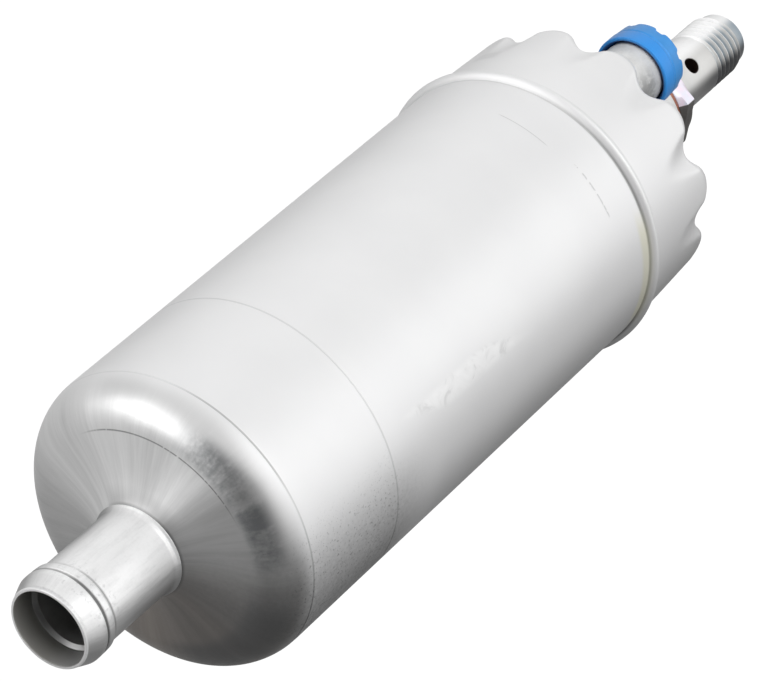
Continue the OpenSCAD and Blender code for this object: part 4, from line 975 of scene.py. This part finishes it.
# Each terminal's height, nut seat and post end, its radius, where its thread ends and starts beyond the post, its
# pitch, and its nut's width and thickness
washers, nuts, sleeves = Skin(), Skin(), Skin()
for label, z, seat, top, radius, reach, smooth, pitch, across, thick in (
        ("upper", TERMINAL_RING, UPPER_SEAT, POST_TOP, UPPER_R, 7, 1, 0.7, 7, 3.2),
        ("lower", -TERMINAL_RING, LOWER_SEAT, LOW_POST_TOP, LOWER_R, 11, 1.5, 0.8, 8, 4.0)):
    fit(Skin().add(screw_rod(top + reach, radius, pitch, top + smooth, z)), f"{label}_terminal_rod", "zinc_steel",
        [f"{label}_terminal"])
    washers.add(ring_grid(seat, seat + DISC_T, radius + 0.15, radius + 2.6, 0.2, z), wrap_rows=True)
    nuts.add(nut_grid(seat + DISC_T + 0.02, across, thick, radius + 0.03, z), wrap_rows=True)
    sleeves.add(ring_grid(POCKET_X, top + 1, radius + 0.02, radius + SLEEVE, 0.3, z, 64), wrap_rows=True)
fit(washers, "terminal_discs", "zinc_steel", ["terminal_washers"])
fit(nuts, "terminal_hexagons", "zinc_steel", ["terminal_nuts"])
fit(sleeves, "terminal_bushes", "ivory_plastic", ["terminal_sleeves"])
fit(insulator_skin(), "lower_washer_cup", "brown_plastic", ["lower_insulator"])

# Each spring is wound at its length and turned to run from its fixed end
for label, node, joint, travel, way, fixed, turns, radius, wire, length in SPRINGS:
    wound = coil_grid(turns, radius, wire, length)
    if way[2]:
        wound = wound[..., [1, 2, 0]]
    wound = wound * (-1 if sum(way) > 0 else 1) + fixed + [ORIGIN_X, 0, 0]
    coil = fit(Skin().add(wound), label, "spring_steel", [node], sharp=60)
    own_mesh(coil)


# ------ floor, light, camera

# Bright and dark patches that only reflections see: direction, full and outer angle in degrees, and level
GLOSS_SPOTS = (((-0.81, 0.58, 0.14), 8, 36, 2.0), ((-0.90, -0.40, 0.10), 28, 52, -0.74),
               ((0.03, -0.60, 0.80), 14, 36, 0.35), ((0.67, -0.60, 0.44), 12, 32, 0.55),
               ((0.67, 0.62, 0.40), 14, 40, 0.3))
GLOSS_LEVEL, GLOSS_LEAST = 0.62, 0.04
SKY_LEVEL = 0.06
FLOOR_REACH, FLOOR_DROP = 8.0, 0.0002
FLOOR_GLOW, FLOOR_SHARE = 1.42, 0.72
# Lamps: direction from the pump's middle, distance and width in metres, and power in watts
LAMPS = {"key": ((-0.08, -0.48, 0.87), 1.0, 0.9, 11.2), "fill": ((-0.35, 0.66, 0.66), 1.2, 0.9, 5.8)}
# The photograph's camera, fitted to the pump's outlines: place in metres, directions, focal length in mm
CAMERA_AT = (-0.45515, -0.1694, 0.4824)
CAMERA_AHEAD = (0.670, 0.2457, -0.7002)
CAMERA_UP = (0.490, 0.5623, 0.6659)
CAMERA_LENS = 195.2


def world_light():
    """Soft studio surround: a white background, weak light on dull surfaces, and patches for reflections."""
    world = bpy.data.worlds.new("studio")
    bpy.context.scene.world = world
    world.use_nodes = True
    sky = Nodes(world.node_tree)
    sky.tree.nodes.clear()
    direction = sky.node("ShaderNodeTexCoord", output="Generated")

    def spot(towards, near, far, level):
        """A level within an angle of a direction, in degrees, that fades to 0 at a wider angle."""
        cosine = sky.node("ShaderNodeVectorMath", {"operation": "DOT_PRODUCT"},
                          {0: direction, 1: Vector(towards).normalized()}, "Value")
        return cosine.step(math.cos(math.radians(far)), math.cos(math.radians(near)), 0.0, level)

    gloss = GLOSS_LEVEL
    for patch in GLOSS_SPOTS:
        gloss += spot(*patch)
    dull = sky.node("ShaderNodeMix", {"data_type": "FLOAT"},
                    {0: sky.ray("Glossy"), 2: SKY_LEVEL, 3: gloss.most(GLOSS_LEAST)})
    seen = sky.node("ShaderNodeMix", {"data_type": "FLOAT"}, {0: sky.ray("Camera"), 2: dull, 3: 1.0})
    background = sky.node("ShaderNodeBackground", {}, {"Color": (1, 1, 1, 1), "Strength": seen})
    sky.tree.links.new(background.socket, sky.tree.nodes.new("ShaderNodeOutputWorld").inputs["Surface"])


def floor():
    """A pale floor, white to the eye and in reflections, greyer on its shaded side, with a soft shadow."""
    mesh = bpy.data.meshes.new("floor")
    level = CAD_BOX[0][2] - FLOOR_DROP
    mesh.from_pydata([(x * FLOOR_REACH, y * FLOOR_REACH, level) for x, y in ((-1, -1), (1, -1), (1, 1), (-1, 1))],
                     [], [(0, 1, 2, 3)])
    f = Finish("floor_paper", Roughness=0.9)
    f.set(Base_Color=f.colour((0.3, grey(0.13)), (0.7, grey(0.15)), by=f.noise(0.05, 2, 0.5)))
    clear = f.y.step(-50.0, 30.0, 0.03, 0.56) + f.y.step(80.0, 400.0, 0.0, 0.34)
    seen = f.ray("Camera") + (f.ray("Glossy") + f.ray("Transmission")) * clear
    glow = f.node("ShaderNodeEmission", {}, {"Color": (1, 1, 1, 1), "Strength": FLOOR_GLOW}, "Emission")
    paper = Value(f, f.shader.outputs["BSDF"])
    both = f.node("ShaderNodeMixShader", {}, {0: seen.least(1.0) * FLOOR_SHARE, 1: paper, 2: glow}, "Shader")
    f.tree.links.new(both.socket, f.tree.nodes["Material Output"].inputs["Surface"])
    mesh.materials.append(f.material)
    thing = placed("floor", mesh)


def lamp(name, towards, distance, size, power):
    """A round lamp in a direction from the pump's middle, facing it."""
    data = bpy.data.lights.new(name, "AREA")
    data.shape, data.size, data.energy = "DISK", size, power
    thing = placed(name, data)
    way = Vector(towards).normalized()
    thing.matrix_world = Matrix.Translation(way * distance) @ way.to_track_quat("Z", "Y").to_matrix().to_4x4()
    thing.visible_glossy = False


def camera():
    """The photograph's camera, at its place and turned by its three directions."""
    data = bpy.data.cameras.new("camera")
    data.lens, data.sensor_width = CAMERA_LENS, 36.0
    data.clip_start, data.clip_end = 0.01, 50.0
    thing = placed("camera", data)
    ahead = Vector(CAMERA_AHEAD).normalized()
    side = ahead.cross(Vector(CAMERA_UP)).normalized()
    up = side.cross(ahead)
    turn = Matrix((side, up, -ahead)).transposed().to_4x4()
    thing.matrix_world = Matrix.Translation(CAMERA_AT) @ turn
    bpy.context.scene.camera = thing


world_light()
floor()
for label, numbers in LAMPS.items():
    lamp(label, *numbers)
camera()
bpy.context.scene.view_settings.view_transform = "Standard"

bpy.context.view_layer.update()
